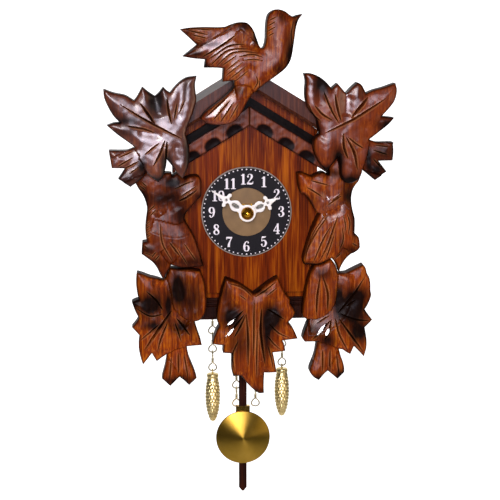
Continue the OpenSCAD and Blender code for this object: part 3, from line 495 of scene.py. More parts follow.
def curve(path, steps=6):
    """An open path drawn as a smooth curve through its points."""
    p = np.array(path, float)
    if len(p) < 3:
        return p
    ends = np.vstack([2 * p[0] - p[1], p, 2 * p[-1] - p[-2]])
    out = []
    for i in range(1, len(ends) - 2):
        a, b = ends[i], ends[i + 1]
        out += hermite(a, b, (b - ends[i - 1]) / 2, (ends[i + 2] - a) / 2, steps)
    return np.array(out + [p[-1]])


def triangulate(loops, extra=()):
    """Triangles that fill outlines, holes left out: (points, triangles, each loop's point numbers)."""
    points = [Vector(p) for loop in loops for p in loop] + [Vector(p) for p in extra]
    edges, start, rings = [], 0, []
    for loop in loops:
        ring = list(range(start, start + len(loop)))
        edges += list(zip(ring, ring[1:] + ring[:1]))
        rings.append(ring)
        start += len(loop)
    made = delaunay_2d_cdt(points, edges, [], 2, 1e-7)
    where = {old: new for new, olds in enumerate(made[3]) for old in olds}
    return np.array([tuple(v) for v in made[0]]), made[2], [[where[i] for i in ring] for ring in rings]


def faces_front(flat, face):
    """Whether a face's points run anticlockwise as seen from the front."""
    a, b, c = (flat[i] for i in face[:3])
    return (b[0] - a[0]) * (c[1] - a[1]) - (b[1] - a[1]) * (c[0] - a[0]) > 0


def slab(loops, back, depth_at, extra=()):
    """A plate from its back plane to a front surface given by depth_at, as (points, faces).

    The first loop is the outline and the others are holes in it. The front's points come first.
    """
    flat, faces, rings = triangulate(loops, extra)
    y = depth_at(flat)
    points = [(p[0], y[i], p[1]) for i, p in enumerate(flat)]
    out = [list(f) if faces_front(flat, f) else f[::-1] for f in faces]
    back_flat, back_faces, back_rings = triangulate(loops)
    start = len(points)
    points += [(p[0], back, p[1]) for p in back_flat]
    for f in back_faces:
        out.append([start + i for i in (f[::-1] if faces_front(back_flat, f) else f)])
    for front_ring, back_ring, loop in zip(rings, back_rings, loops):
        hole = loop is not loops[0]
        turns_left = np.cross(loop, np.roll(loop, -1, 0)).sum() > 0
        for i in range(len(loop)):
            j = (i + 1) % len(loop)
            wall = [front_ring[i], start + back_ring[i], start + back_ring[j], front_ring[j]]
            out.append(wall if turns_left != hole else wall[::-1])
    return points, out


# ---------------------------------------------------------------- carving

# What each carving is cut with, in millimetres in x and z on its face.
#   veins: V cuts with pointed ends (path, width, depth)
#   hollows: wide soft cuts (path, width, depth)
#   ledges: cuts that leave the right side of the path standing and lower its left (path, reach, depth)
#   chips: lens-shaped facets that tilt up to the light, polished by the gouge (from, to, width)
#   char_and_shade_patches: patches of char, and of painted shade in gaps between lobes and under the pieces
#       in front (x, z, half width, half height, strength)
#   shines: where the lacquer lies thickest, written in the same way
# They were placed one by one. A path is a list of (x, z) points, and + x is to the right.
CUTS = {
    "upper_leaf_left": {
        "veins": [
            ([(-63, -1.3), (-50, -9.3), (-33.5, -18)], 1.9, 1.2),
            ([(-53.8, -0.3), (-46.3, -11.3)], 2.4, 1.4), ([(-40.8, 2.3), (-40, -5), (-38.7, -11)], 2, 1.4),
            ([(-36, -0.8), (-37.5, -8.5)], 1.5, 1.1), ([(-32, 1), (-35.5, -6.5)], 1.2, 0.8),
            ([(-60.5, -11.3), (-52, -13), (-46.5, -15)], 1.8, 1.2),
            ([(-52, -25.3), (-44.5, -19.5)], 1.5, 0.9),
            ([(-47.8, -31), (-44.5, -25), (-41.8, -18)], 2.1, 1.3),
            ([(-41, -18.5), (-41.7, -28.5)], 2, 1.6), ([(-65, -31.3), (-57, -26.6)], 1.3, 0.9),
            ([(-64.5, -27), (-57.5, -24)], 1.1, 0.7), ([(-61.5, -32.2), (-54.5, -28.5)], 1.3, 0.9),
            ([(-59.5, -34.8), (-54.5, -31.2)], 1, 0.7),
        ],
        "hollows": [
            ([(-47, 4), (-44, -8)], 7, 1.3), ([(-33, 9), (-36, -10)], 5, 0.9),
            ([(-55, -14), (-43, -16)], 5, 0.8), ([(-37, -20), (-35, -30)], 4, 0.6),
        ],
        "ledges": [([(-50.8, -34.5), (-53.3, -28.5), (-56.8, -21.3)], 20, 3)],
        "char_and_shade_patches": [
            (-46, 0, 4.5, 7.5, 1), (-30.5, -24, 2.5, 9, 0.8), (-41, -31, 2.5, 6, 1.1), (-60, -9, 7, 2, 0.7),
            (-31.5, 6, 2.5, 6, 0.45), (-46, -38, 6, 2, 0.8), (-62, -14.5, 6, 2.2, 0.5),
            (-60, -37, 5, 3.5, 0.6), (-53, -31, 2, 4, 0.9), (-66, -4, 3, 4, 0.35),
        ],
        "shines": [
            (-38, -13, 9, 9, 1), (-50, -22, 9, 8, 0.8), (-32, 0, 3, 9, 0.6), (-36, -27, 6, 8, 0.5),
            (-46, -30, 5, 8, 0.5),
        ],
    },
    "upper_leaf_right": {
        "veins": [
            ([(65, 1.3), (57, -4), (48, -9.5), (35, -15.5)], 2.2, 1.3), ([(56, 1.6), (48, -8.3)], 2.8, 1.4),
            ([(39.8, 3.5), (41, -3), (43, -10)], 2.2, 1.4), ([(34.5, 4.5), (38, -4), (42, -11)], 1.8, 1.2),
            ([(30, -2), (34, -6.5), (39, -9.5)], 2, 1.1), ([(27, -1), (29.5, -6.5), (33.5, -10)], 1.4, 1),
            ([(44, -15.5), (44.5, -22), (46.5, -28)], 2.2, 1.4),
            ([(45.5, -17.5), (49.5, -25), (51.3, -33.5)], 2.4, 1.5),
            ([(46.5, -17.5), (50, -20.5), (54, -23)], 1.6, 1.1), ([(59, -24), (66.5, -26.5)], 1.2, 0.8),
            ([(59, -28), (63.5, -33)], 1.2, 0.8), ([(60, -21.8), (67, -22.6)], 1, 0.6),
        ],
        "hollows": [
            ([(46, 3), (45.5, -8)], 7, 1.3), ([(32, 9), (33, -3)], 6, 1), ([(64, -12), (52, -14)], 6, 0.8),
            ([(37, -18), (37, -30)], 7, -0.5),
        ],
        "ledges": [([(57.3, -19), (56.3, -25), (53.8, -34)], 20, 3)],
        "char_and_shade_patches": [
            (33.5, 8, 4, 6, 0.95), (66, -12, 5, 3.5, 0.85), (42, -28.5, 2.5, 5, 1.1),
            (48, -38.5, 6, 2.5, 0.9), (31, -13.5, 2.5, 3, 0.6), (65, -25, 6, 4, 0.6), (61, -34, 5, 4, 0.8),
            (52.5, 4, 2.5, 5, 0.4), (36, -33, 3, 2, 0.7), (57, -28, 1.5, 5, 0.8),
        ],
        "shines": [(46, 1, 4, 7, 1), (28, 4, 2, 8, 0.8), (40, -14, 8, 5, 0.4), (62, 0, 8, 3, 0.3)],
    },
    "top_bird": {
        "veins": [
            ([(-24, 21), (-14, 27), (-7.3, 32)], 1.8, 1.1),
            ([(-21, 20), (-13, 25.3), (-9, 26.8), (-3.5, 27)], 1.6, 1.1),
            ([(-20.3, 17), (-12, 24), (-2, 25)], 1.6, 1),
            ([(-17.5, 16.6), (-11, 22.3), (-5, 23.6), (3, 22.8)], 1.4, 0.9),
            ([(-7, 21.2), (0, 22.2), (5, 20.8)], 1.3, 0.9), ([(-5, 19.5), (0, 20), (5, 19.3)], 1, 0.7),
            ([(-14.6, 17), (-7.5, 22)], 1.1, 0.7), ([(-13, 14.3), (-6, 20.2)], 1.1, 0.7),
            ([(-13.3, 11.8), (-4.6, 18.8)], 1.1, 0.7), ([(-11, 10.6), (-3, 17)], 1.1, 0.7),
            ([(-8.6, 9.4), (-2, 14.8)], 1, 0.7), ([(-31, 33.6), (-21, 31.5)], 1.2, 0.8),
            ([(-29, 31.6), (-21.5, 29.8)], 1.2, 0.8), ([(-29, 34.4), (-18, 33.6)], 1.1, 0.7),
            ([(-27, 29.3), (-23.5, 28.2)], 1, 0.6), ([(7.6, 38), (11.5, 40)], 1.1, 0.7),
            ([(7.2, 35.5), (11, 37.8)], 1.1, 0.7), ([(7, 33), (10.8, 35.2)], 1.1, 0.7),
            ([(7, 30.5), (10.4, 32.6)], 1, 0.6), ([(19.6, 38.5), (18.4, 32), (18.8, 26)], 1.2, 0.7),
            ([(0.6, 5.6), (2.4, 9), (1.6, 12.4)], 1.2, 0.8), ([(3.2, 6.4), (3.4, 10.4)], 1, 0.7),
            ([(-11.5, 2.6), (-22, -7)], 1.6, 1.1), ([(-10.5, 0.8), (-19, -8.8)], 1.6, 1.1),
            ([(-9, 0), (-15.4, -9.8)], 1.5, 1), ([(-6.6, -0.5), (-11, -8.6)], 1.2, 0.7),
        ],
        "hollows": [
            ([(-5, 28), (0, 26)], 6, 1.2), ([(-3, 16), (1, 13)], 5, 0.6),
            ([(6, 12), (13, 20), (14, 30)], 7, -0.8),
        ],
        "ledges": [
            ([(-33.4, 21.6), (-24, 26.6), (-12.5, 33.2), (-8.5, 36.6)], 15, 3.6),
            ([(4.6, 25.4), (-0.5, 29.8), (-6, 34.4)], 6, 1.3),
            ([(1, 3.5), (-0.5, 6.3), (-4, 8), (-8.8, 7.2)], 7, 1.6),
        ],
        "char_and_shade_patches": [
            (18, 22, 2.5, 9, 0.85), (12.5, 15.5, 3, 3.5, 0.5), (-4, 35.3, 3.5, 2.5, 0.7),
            (1.5, 30, 1.8, 4, 0.75), (14, 40, 2, 3, 0.6), (20.8, 37, 1.5, 4, 0.6), (-27, 22.5, 5, 1.6, 0.7),
            (-20, 27, 9, 1.2, 0.45), (-7, 5.5, 4, 2, 0.45), (-30, 33, 4, 2, 0.3),
            (-21.5, 17, 1.6, 1.6, 0.6),
        ],
        "shines": [(-14, 26, 11, 6, 1), (-15, -4, 8, 7, 0.9), (-9, 14, 4, 4, 0.4), (-2, 31, 2.5, 4, 0.7)],
    },
    "side_bird_left": {
        "veins": [
            ([(-35.5, -49.2), (-31, -46.9), (-26.4, -43.6)], 2, 1.3),
            ([(-35, -47.2), (-26.4, -41.6)], 1.2, 0.8),
            ([(-37.5, -43), (-32, -40.6), (-27.5, -39)], 1.2, 0.8),
            ([(-40.2, -69.3), (-35.2, -76.2)], 1.8, 1.1),
            ([(-44.5, -60), (-43.5, -70), (-38.5, -79.5)], 1.6, 0.7), ([(-33, -70), (-27, -79)], 1.2, 0.6),
            ([(-36.5, -72), (-31, -81)], 1.2, 0.6), ([(-49.2, -77.2), (-46.6, -74)], 1.1, 0.8),
            ([(-47.4, -78.6), (-45, -75.6)], 1.1, 0.8), ([(-50.4, -54.3), (-46.8, -50.8)], 1.1, 0.8),
            ([(-49.4, -56.4), (-46.4, -53)], 1.1, 0.8), ([(-54.8, -41), (-51.4, -43.6)], 1.1, 0.7),
            ([(-53.4, -39.4), (-50.6, -41.8)], 1.1, 0.7), ([(-51.6, -60.6), (-49.2, -58.8)], 0.9, 0.6),
            ([(-51.8, -62.8), (-49.2, -60.8)], 0.9, 0.6), ([(-51.6, -65), (-49, -63)], 0.9, 0.6),
            ([(-51.4, -67.2), (-49, -65.2)], 0.9, 0.6), ([(-52.6, -71), (-50.5, -72.6)], 1, 0.7),
            ([(-52.6, -74.4), (-48.6, -76)], 1, 0.7),
        ],
        "hollows": [([(-45.5, -53), (-43.5, -56)], 5, 1.6), ([(-40, -46), (-36, -54)], 7, 1)],
        "ledges": [
            ([(-31.8, -58), (-36, -60.5), (-42, -59.3), (-48, -57.6)], 7, 1.4),
            ([(-44.8, -74), (-42, -78.4), (-39.4, -81)], 8, 1.8),
        ],
        "char_and_shade_patches": [
            (-42, -47.5, 9, 3.5, 0.75), (-34, -55.5, 4, 4.5, 0.65), (-46, -80, 4, 3, 0.4),
            (-53, -49, 2, 7, 0.8), (-29, -79.5, 7, 3, 0.55), (-38, -40, 5, 3, 0.9), (-50.5, -73, 3, 2, 0.6),
            (-26, -47, 2, 2, 0.5),
        ],
        "shines": [(-30, -44, 6, 3, 0.5), (-46, -52, 5, 5, 0.3)],
    },
    "side_bird_right": {
        "veins": [
            ([(38, -52), (44.8, -47.2)], 1.5, 1), ([(39.8, -49.8), (44.6, -46.2)], 1.1, 0.8),
            ([(39.2, -56), (33.5, -64), (28.4, -74), (27.2, -80.5)], 1.5, 1),
            ([(37.2, -56.4), (31.4, -65.5), (27.8, -75)], 1.1, 0.8),
            ([(40, -62), (36, -69), (31, -80.6)], 1.6, 1),
            ([(43.2, -57), (40.6, -65), (38.2, -72), (34, -80.6)], 1.9, 1.2),
            ([(41.6, -66), (38.8, -75), (37.2, -79.6)], 1.4, 0.9),
            ([(45.4, -62.6), (46, -69), (44.2, -74.4)], 1.3, 0.8),
            ([(47.6, -56), (49.2, -61), (48.4, -67)], 1.2, 0.7),
            ([(45.8, -56.5), (47, -62), (46.6, -66)], 1, 0.6),
            ([(27.4, -42.8), (31, -44.8), (35.2, -47.6)], 1.5, 1), ([(29.5, -39.6), (38.6, -42)], 1.3, 0.9),
            ([(50.4, -71), (53.4, -72.8)], 1, 0.7), ([(42, -79.6), (45.6, -76)], 1, 0.7),
        ],
        "hollows": [([(37.5, -55), (44, -51.5)], 4.5, 1.5), ([(36, -44.5), (38.3, -49)], 3, 0.8)],
        "ledges": [
            ([(46.2, -73), (43.6, -76.6), (40, -79.4)], 9, 2.2),
            ([(46.8, -50), (42, -53), (35.5, -56.6)], 5, 1),
        ],
        "char_and_shade_patches": [
            (48.5, -47, 4, 7, 0.75), (52, -61, 1.8, 8, 0.85), (50, -74.5, 4, 2.6, 0.55),
            (30, -49.5, 3.5, 3.5, 0.3), (29, -82, 6, 1.8, 0.6), (46.5, -79, 3, 4, 0.3),
            (41, -36, 6, 2.5, 0.6), (44.6, -70, 1.5, 4, 0.4),
        ],
        "shines": [(38, -50, 6, 5, 0.9), (44, -60, 3, 8, 0.2)],
    },
    "lower_leaf_left": {
        "veins": [
            ([(-39, -104), (-45, -112), (-53, -124)], 2.6, 1.5),
            ([(-41.4, -110), (-44.5, -117.5), (-46.5, -124.5)], 1.8, 1.2),
            ([(-37, -108), (-33, -113), (-30, -117)], 1.8, 1.1),
            ([(-37.8, -110), (-35.8, -116), (-34.6, -120)], 1.4, 0.9),
            ([(-43.5, -104), (-47, -98.4), (-52, -93.6)], 1.6, 1),
            ([(-45.5, -110.6), (-55, -119)], 1.6, 0.9),
            ([(-43, -105.5), (-50, -106.5), (-57.5, -102)], 1.4, 0.8),
            ([(-39.6, -128), (-40.6, -139)], 1.7, 0.9), ([(-36.2, -125.6), (-36, -136.6)], 1.9, 1),
            ([(-33.2, -127), (-31.4, -138.5)], 1.6, 0.9),
        ],
        "hollows": [
            ([(-36.5, -86), (-34.5, -96), (-32, -106)], 3.6, 0.9),
            ([(-30.5, -86.5), (-28.6, -97), (-28, -106)], 3.6, 0.9),
            ([(-25.8, -88), (-24.8, -97), (-25, -105)], 2.6, 0.6), ([(-50, -102), (-46, -106)], 6, 0.8),
        ],
        "ledges": [
            ([(-30, -109.8), (-35, -106.4), (-38.2, -102.3), (-39.2, -96.6), (-40.6, -90), (-42.6, -86)],
              8, 2.6),
            ([(-31.4, -122.7), (-37, -123.6), (-42.4, -126.8)], 20, 2.2),
        ],
        "char_and_shade_patches": [
            (-49.5, -101, 6, 6, 1.1), (-36, -93, 4.2, 9, 1), (-30, -100, 4, 9, 0.45),
            (-34.5, -112.5, 5, 3.5, 0.75), (-36, -140, 8, 2.6, 0.8), (-49, -111.5, 5, 2.6, 0.7),
            (-57, -100, 2, 3, 0.5), (-26, -98, 3, 10, 0.35), (-41, -103, 1.6, 6, 0.7),
        ],
    },
    "lower_leaf_right": {
        "veins": [
            ([(34.6, -88.5), (33.4, -98), (33, -108)], 2.2, 1.2),
            ([(36.2, -88), (38.6, -96), (38.6, -105)], 2.2, 1.2),
            ([(57.5, -88), (50.5, -99), (44, -107)], 1.8, 1.1), ([(53, -99.8), (48, -103.6)], 1.2, 0.9),
            ([(40, -108), (33.4, -112.2)], 1.4, 0.9),
            ([(40.4, -110.5), (36, -115.5), (31, -120.3)], 2, 1.3),
            ([(40.8, -110), (39.5, -116.5), (37.4, -120)], 1.8, 1.3),
            ([(42.6, -109), (44.5, -117), (49, -126)], 1.8, 1),
            ([(44.5, -109.5), (50.5, -118), (57.4, -127.5)], 2, 1.1),
            ([(45, -107), (53, -110), (60.4, -110.8)], 1.6, 1), ([(36.6, -125.6), (36.6, -137.4)], 1.8, 1),
            ([(40.4, -125.6), (40.2, -136.4)], 1.8, 1), ([(43.4, -127.6), (44.8, -138.4)], 1.6, 0.9),
        ],
        "hollows": [([(53, -98), (49, -104)], 6, 0.8), ([(57, -119), (51, -113)], 5, 0.7)],
        "ledges": [
            ([(44.2, -86.4), (43.4, -94), (42.5, -101.4), (39.8, -105.8), (34.6, -109.2), (28.5, -110)],
              8, 2.6),
            ([(45.4, -125.8), (39.5, -122.6), (33.4, -121.4)], 20, 2.2),
        ],
        "chips": [((38.2, -112.2), (33.4, -118.4), 1.5), ((39.6, -114.6), (37.8, -118.4), 1.4)],
        "char_and_shade_patches": [
            (50.5, -105, 8, 7.5, 1.1), (55, -117, 5, 5, 0.85), (36, -86.5, 4, 3, 0.55),
            (38.5, -120.5, 4, 3.5, 0.75), (44.6, -99, 1.6, 7, 0.75), (46, -139, 3.4, 3, 0.85),
            (34.5, -141, 5, 2.6, 0.75), (54, -97, 5, 4, 0.6), (30.5, -115, 3, 4, 0.6),
            (36, -113.5, 4, 4, 0.45),
        ],
        "shines": [(35, -112, 4, 3, 0.3)],
    },
    "centre_leaf": {
        "veins": [
            ([(1.7, -99), (1.6, -112), (1.4, -128)], 1.8, 1.2),
            ([(-2.4, -105), (-1.4, -118), (-1.3, -133)], 2, 1.1),
            ([(5.4, -103), (5, -116), (7.2, -132)], 2.4, 1.3),
            ([(3.4, -113), (3, -126), (3, -139)], 1.5, 0.8),
            ([(-3.5, -104), (-7, -107.6), (-13, -113)], 2, 1.5),
            ([(-3, -106), (-7.4, -111.6), (-13.6, -118.6)], 2, 1.5),
            ([(-2.6, -106.5), (-5, -112), (-8.4, -118)], 1.8, 1.2),
            ([(8, -103.5), (12, -106), (17, -109.2)], 1.5, 1),
            ([(-11, -90.4), (-4, -93), (1.2, -97.8)], 1.4, 0.9),
            ([(1.8, -97.8), (7, -94.6), (13, -89.8)], 1.4, 0.9), ([(8, -97), (13, -93)], 1.2, 0.8),
            ([(-6, -96), (-2, -99)], 1, 0.7), ([(9, -111), (14, -116), (20, -119)], 1.4, 0.8),
            ([(8, -117), (12, -122), (15.5, -125)], 1.4, 0.8),
            ([(-6, -119), (-9, -127), (-8, -136)], 1.6, 0.8),
            ([(8.4, -122), (10.4, -129), (11.4, -135)], 1.4, 0.8),
        ],
        "hollows": [([(-10, -99), (-7, -104)], 6, 1), ([(12, -98), (10, -106)], 6, 0.9)],
        "ledges": [([(8, -136.8), (7.2, -134), (6.4, -130)], 4, 0.8)],
        "chips": [((-7.9, -108.4), (-12, -112), 1.4), ((-8.1, -113.1), (-12.8, -118), 1.4)],
        "char_and_shade_patches": [
            (-9.5, -107.5, 5, 5.5, 1.05), (11, -108, 4.8, 6.5, 1.1), (8, -119, 2.6, 10, 0.7),
            (-6, -121, 5, 7, 0.5), (-12.5, -95, 3, 6, 0.5), (-8.5, -138, 2, 1.6, 0.6),
            (4, -146, 4, 1.6, 0.5), (5.5, -95, 4, 1.2, 0.5),
        ],
    },
}

GRID = 0.55            # spacing of the points on a carved face
VEIN = (0.68, 1.25)    # what a vein's width and depth are multiplied by
CHIP = (-0.17, 0.317)  # how fast a chip's facet deepens to the right and upward
EDGE = (0.9, 0.8)      # how far in from an outline the edge is rounded, and how deep
CROWN = (6.0, 1.3)     # the same for the broad doming of a carved face
SLOPE = math.tan(math.radians(ROOF_LEAN))


def scallops():
    """The charred oval scallops along the gable boards' lower edges: (middle, half axes, slope)."""
    places = [(side, x) for side in (-1, 1) for x in (7.5, 18.2, 28.5)]
    return [((side * x, -11.2 - x * SLOPE), (4.9, 3.6), -side * SLOPE) for side, x in places]


def taper(share):
    """How wide a vein is along its length, from its ends at 0 and 1."""
    return np.clip(4 * share * (1 - share), 0, 1) ** 0.55


def patches(x, z, listed):
    """The sum of soft oval patches, each listed as (x, z, half width, half height, strength)."""
    total = np.zeros(len(x))
    for middle_x, middle_z, half_x, half_z, strength in listed:
        total += strength * np.exp(-(((x - middle_x) / half_x) ** 2 + ((z - middle_z) / half_z) ** 2) * 0.9)
    return total


def relief(points, cuts, outline, edge, crown):
    """Each point's depth below a carved face's front plane, and the attributes that its stain, painted shade
    and painted highlight depend on.
    """
    gap = nearest(points, [outline])
    reach, drop = edge
    depth = drop * (1 - np.sqrt(np.clip(1 - (1 - np.minimum(gap / reach, 1)) ** 2, 0, 1)))
    reach, drop = crown
    depth += drop * (1 - np.minimum(gap / reach, 1)) ** 2
    x, z = points[:, 0], points[:, 1]
    ripples = np.sin(x * 1.3 + 2 * np.sin(z * 0.7)) + np.sin(z * 1.7 + 1.5 * np.sin(x * 0.9 + 1))
    depth += 0.02 * ripples
    for path, width, cut in cuts.get("hollows", []):
        off, share, _ = near_path(points, curve(path))
        depth += cut * np.exp(-((off / (width / 2)) ** 2)) * np.clip(4 * share * (1 - share) + 0.35, 0, 1)
    lowered = np.zeros(len(points))
    for path, reach, cut in cuts.get("ledges", []):
        off, share, side = near_path(points, curve(path))
        ends = np.clip(np.minimum(share, 1 - share) * 25, 0, 1)
        wall = np.clip((off * side + 0.15) / 0.5, 0, 1)
        lowered = np.maximum(lowered, cut * wall * ends * np.clip(1 - off / reach, 0, 1) ** 0.6)
    depth += lowered
    carved, rim_highlight = np.zeros(len(points)), np.zeros(len(points))
    for path, width, cut in cuts.get("veins", []):
        off, share, _ = near_path(points, curve(path))
        half = np.maximum(VEIN[0] * width / 2 * taper(share), 0.05)
        carved = np.maximum(carved, VEIN[1] * cut * taper(share) * np.clip(1 - off / half, 0, 1))
        # Painted highlight along both rims of each cut, where the rim also stands a little proud.
        rim_highlight = np.maximum(rim_highlight, taper(share) * np.clip(1 - abs(off - half) / 0.35, 0, 1))
    rim_highlight[carved > 0.25] = 0
    depth += carved - 0.07 * rim_highlight  # the edges of a cut stand a little proud
    # Painted shade, with char: darker close to the outline and at the bottoms of the cuts.
    char_and_shade = 0.55 * np.clip(1 - gap, 0, 1) + 0.4 * np.clip(carved, 0, 1)
    # The listed patches of char and of painted shade.
    char_and_shade += patches(x, z, cuts.get("char_and_shade_patches", []))
    shine = patches(x, z, cuts.get("shines", []))
    for (mx, mz), (half_a, half_b), slope in cuts.get("scallops", []):
        size = math.hypot(1, slope)
        along = ((x - mx) + (z - mz) * slope) / size
        across = ((z - mz) - (x - mx) * slope) / size
        oval = 1 - (along / half_a) ** 2 - (across / half_b) ** 2
        depth += 0.4 * np.clip(oval, 0, 1) ** 1.5
        char_and_shade += 1.3 * np.clip(oval * 1.5, 0, 1)
    polish = np.zeros(len(points))
    for chip in cuts.get("chips", []):
        within = inside(points, lens(*chip, 0.08))
        middle = (np.array(chip[0]) + chip[1]) / 2
        depth[within] = depth[within].mean() + 0.3 + (points[within] - middle) @ np.array(CHIP)
        polish[within] = 1
    return depth, {"char_and_shade": np.clip(char_and_shade, 0, 1), "polish": polish, "rim_highlight": rim_highlight, "shine": shine}


def lens(start, end, width, margin=0.0):
    """A lens-shaped outline from one point to another, with a margin round it."""
    a, b = np.array(start), np.array(end)
    along = (b - a) / np.linalg.norm(b - a)
    across = np.array([-along[1], along[0]])
    a, b = a - along * margin, b + along * margin
    half = width / 2 + margin
    out = []
    for start, end, way in ((a, b, across), (b, a, -across)):
        for t in np.arange(0, 1, 0.09):
            out.append(start + (end - start) * t + way * half * math.sin(math.pi * t) ** 0.8)
    return np.array(out)


def cut_rows(cuts):
    """Rows of points round the chips, and along the bottom and edges of the veins, to keep them crisp."""
    chips, middles, edges = [], [], []
    for chip in cuts.get("chips", []):
        chips += [lens(*chip), lens(*chip, 0.2)]
    for path, width, _ in cuts.get("veins", []):
        line = curve(path)
        run = np.concatenate([[0], np.cumsum(np.linalg.norm(np.diff(line, axis=0), axis=1))])
        at = np.linspace(0, run[-1], max(2, round(run[-1] / 0.45)) + 1)
        line = np.column_stack([np.interp(at, run, line[:, i]) for i in (0, 1)])
        step = np.gradient(line, axis=0)
        across = np.column_stack([-step[:, 1], step[:, 0]]) / np.linalg.norm(step, axis=1)[:, None]
        half = VEIN[0] * width / 2 * taper(at / run[-1])
        middles.append(line)
        edges += [line + across * (way * half)[:, None] for way in (-1, 1)]
    return chips + middles + edges


def clear_of(points, other, gap):
    """The points that are further than a gap from all the points of another set."""
    return points[np.linalg.norm(points[:, None] - other[None], axis=2).min(1) > gap]


def face_points(loops, spacing, offsets=(0.12, 0.36, 0.72), margin=0.95, rows_to_keep=()):
    """Points spread over a face: a triangular grid, rows in from its outline, and the rows given."""
    outline = loops[0]
    low, high = outline.min(0), outline.max(0)
    rows = []
    for i, z in enumerate(np.arange(low[1], high[1], spacing * 0.866)):
        xs = np.arange(low[0] + (i % 2) * spacing / 2, high[0], spacing)
        rows.append(np.column_stack([xs, np.full(len(xs), z)]))
    grid = np.vstack(rows)
    grid = grid[inside(grid, outline)]
    clear = nearest(grid, loops)
    for hole in loops[1:]:
        clear[inside(grid, hole)] = 0
    grid = grid[clear > margin]
    step = np.roll(outline, -1, 0) - np.roll(outline, 1, 0)
    inward = np.column_stack([-step[:, 1], step[:, 0]]) / np.linalg.norm(step, axis=1)[:, None]
    if np.cross(outline, np.roll(outline, -1, 0)).sum() < 0:
        inward = -inward
    kept = []
    for offset in offsets:
        row = outline + inward * offset
        row = row[inside(row, outline)]
        row = row[nearest(row, [outline]) > offset * 0.85]
        for hole in loops[1:]:
            row = row[nearest(row, [hole]) > 0.3]
        for other in kept:
            row = clear_of(row, other, 0.1)
        kept.append(row)
    for row in rows_to_keep:
        row = row[inside(row, outline)]
        row = row[nearest(row, [outline]) > 0.25]
        for other in kept:
            if len(row) and len(other):
                row = clear_of(row, other, 0.13)
        if len(row):
            kept.append(row)
            grid = clear_of(grid, row, 0.28)
    return np.vstack([grid, *kept])


def carve(node, material, edge=EDGE, crown=CROWN):
    """Stands a carved piece in the place of a plain CAD one."""
    loops, front = loops_of(node)
    outline = refine(loops[0], 0.6)
    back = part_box(node)[1].y / MM
    cuts = dict(CUTS.get(node, {}))
    if node.startswith("gable_fascia"):
        cuts["scallops"] = scallops()
    marks = {}

    def depth_at(flat):
        """The carved front, which leaves at least 2 mm of wood. Notes the attributes on the way."""
        depth, found = relief(flat, cuts, outline, edge, crown)
        marks.update(found)
        return front + np.minimum(depth, back - front - 2)

    spread = face_points([outline], GRID, rows_to_keep=cut_rows(cuts))
    points, faces = slab([outline], back, depth_at, spread)
    obj = solid(node + "_carved", [(points, faces)], 50)
    # The sides and the back are darkened as well, with char and painted shade, and get no painted rim
    # highlight, no extra lacquer and no polish.
    for name, elsewhere in (("char_and_shade", 0.75), ("polish", 0.0), ("rim_highlight", 0.0), ("shine", 0.0)):
        value = np.full(len(points), elsewhere, np.float32)
        value[: len(marks[name])] = marks[name]
        attribute = obj.data.attributes.new(name, "FLOAT", "POINT")
        attribute.data.foreach_set("value", value[: len(obj.data.vertices)])
    fit(obj, material, "case", "carved_wood", node)


def make_carvings():
    carve("upper_leaf_left", CARVED_SHINY)
    carve("upper_leaf_right", CARVED_RED)
    carve("top_bird", CARVED_BIRD)
    carve("side_bird_left", CARVED_DARK)
    for node in ("side_bird_right", "lower_leaf_left", "lower_leaf_right", "centre_leaf"):
        carve(node, CARVED)
    for node, material in (("gable_fascia_left", FASCIA_LEFT), ("gable_fascia_right", FASCIA_RIGHT)):
        carve(node, material, edge=(0.5, 0.35), crown=(1.0, 0.0))


# ---------------------------------------------------------------- case


def soften(node, width):
    """Rounds the edges of a CAD board a little."""
    bevel = NODES[node].modifiers.new("edges", "BEVEL")
    bevel.width = width * MM
    bevel.segments = 2
    bevel.limit_method = "ANGLE"
    bevel.angle_limit = math.radians(30)


def dress(material, *nodes, edge=0.0):
    for node in nodes:
        paint(NODES[node], material)
        if edge:
            soften(node, edge)


def make_case():
    dress(PANEL, "front_board", "back_board", edge=0.3)
    dress(DARK, "side_board_left", "side_board_right", "base_board", edge=0.3)
    dress(DARK, "base_moulding")
    dress(ROOF_LEFT, "roof_board_left", edge=0.5)
    dress(ROOF_RIGHT, "roof_board_right", edge=0.5)
    # The gable mouldings take the near-black painted shade of the recess under the roof.
    dress(RECESS_SHADE, "gable_moulding_left", "gable_moulding_right", edge=0.15)
    dress(RAW, "glue_blocks", edge=0.3)
    dress(STEEL, "back_screws", "hanger_plate", "hanger_screws", "chain_staples", "stator",
          "battery_contacts")
    dress(BLACK, "movement_front", "movement_back", "pendulum_housing", edge=0.2)
    dress(BOARD, "circuit_board")
    dress(COPPER, "motor_coil", "pendulum_coil")
    dress(MAGNET, "rotor")
    dress(WRAP, "battery", edge=0.25)
    dress(BRASS, "minute_arbor", "dial_nut")
    dress(GEAR, "hour_wheel", "motion_wheel", "setting_knob", "drive_wheel", "third_wheel", "seconds_wheel",
          "step_wheel", "pendulum_rocker")
    dress(DARK, "pendulum_stick", edge=0.2)
    dress(BRASS, "bob_clip", edge=0.15)


# ---------------------------------------------------------------- round and bent shapes


def skin(rings, around, closed=False):
    """The faces between rings of points that follow each other, with so many points around each ring."""
    faces = []
    for i in range(rings if closed else rings - 1):
        a, b = i * around, (i + 1) % rings * around
        for k in range(around):
            j = (k + 1) % around
            faces.append((a + k, b + k, b + j, a + j))
    return faces


def lathe(profile, at, segments=96):
    """A shape turned about the way the dial faces, from (radius, depth from the wall) pairs."""
    turns = [2 * math.pi * k / segments for k in range(segments)]
    points = [
        (at[0] + radius * math.cos(turn), -depth, at[1] + radius * math.sin(turn))
        for radius, depth in profile for turn in turns
    ]
    return points, skin(len(profile), segments)


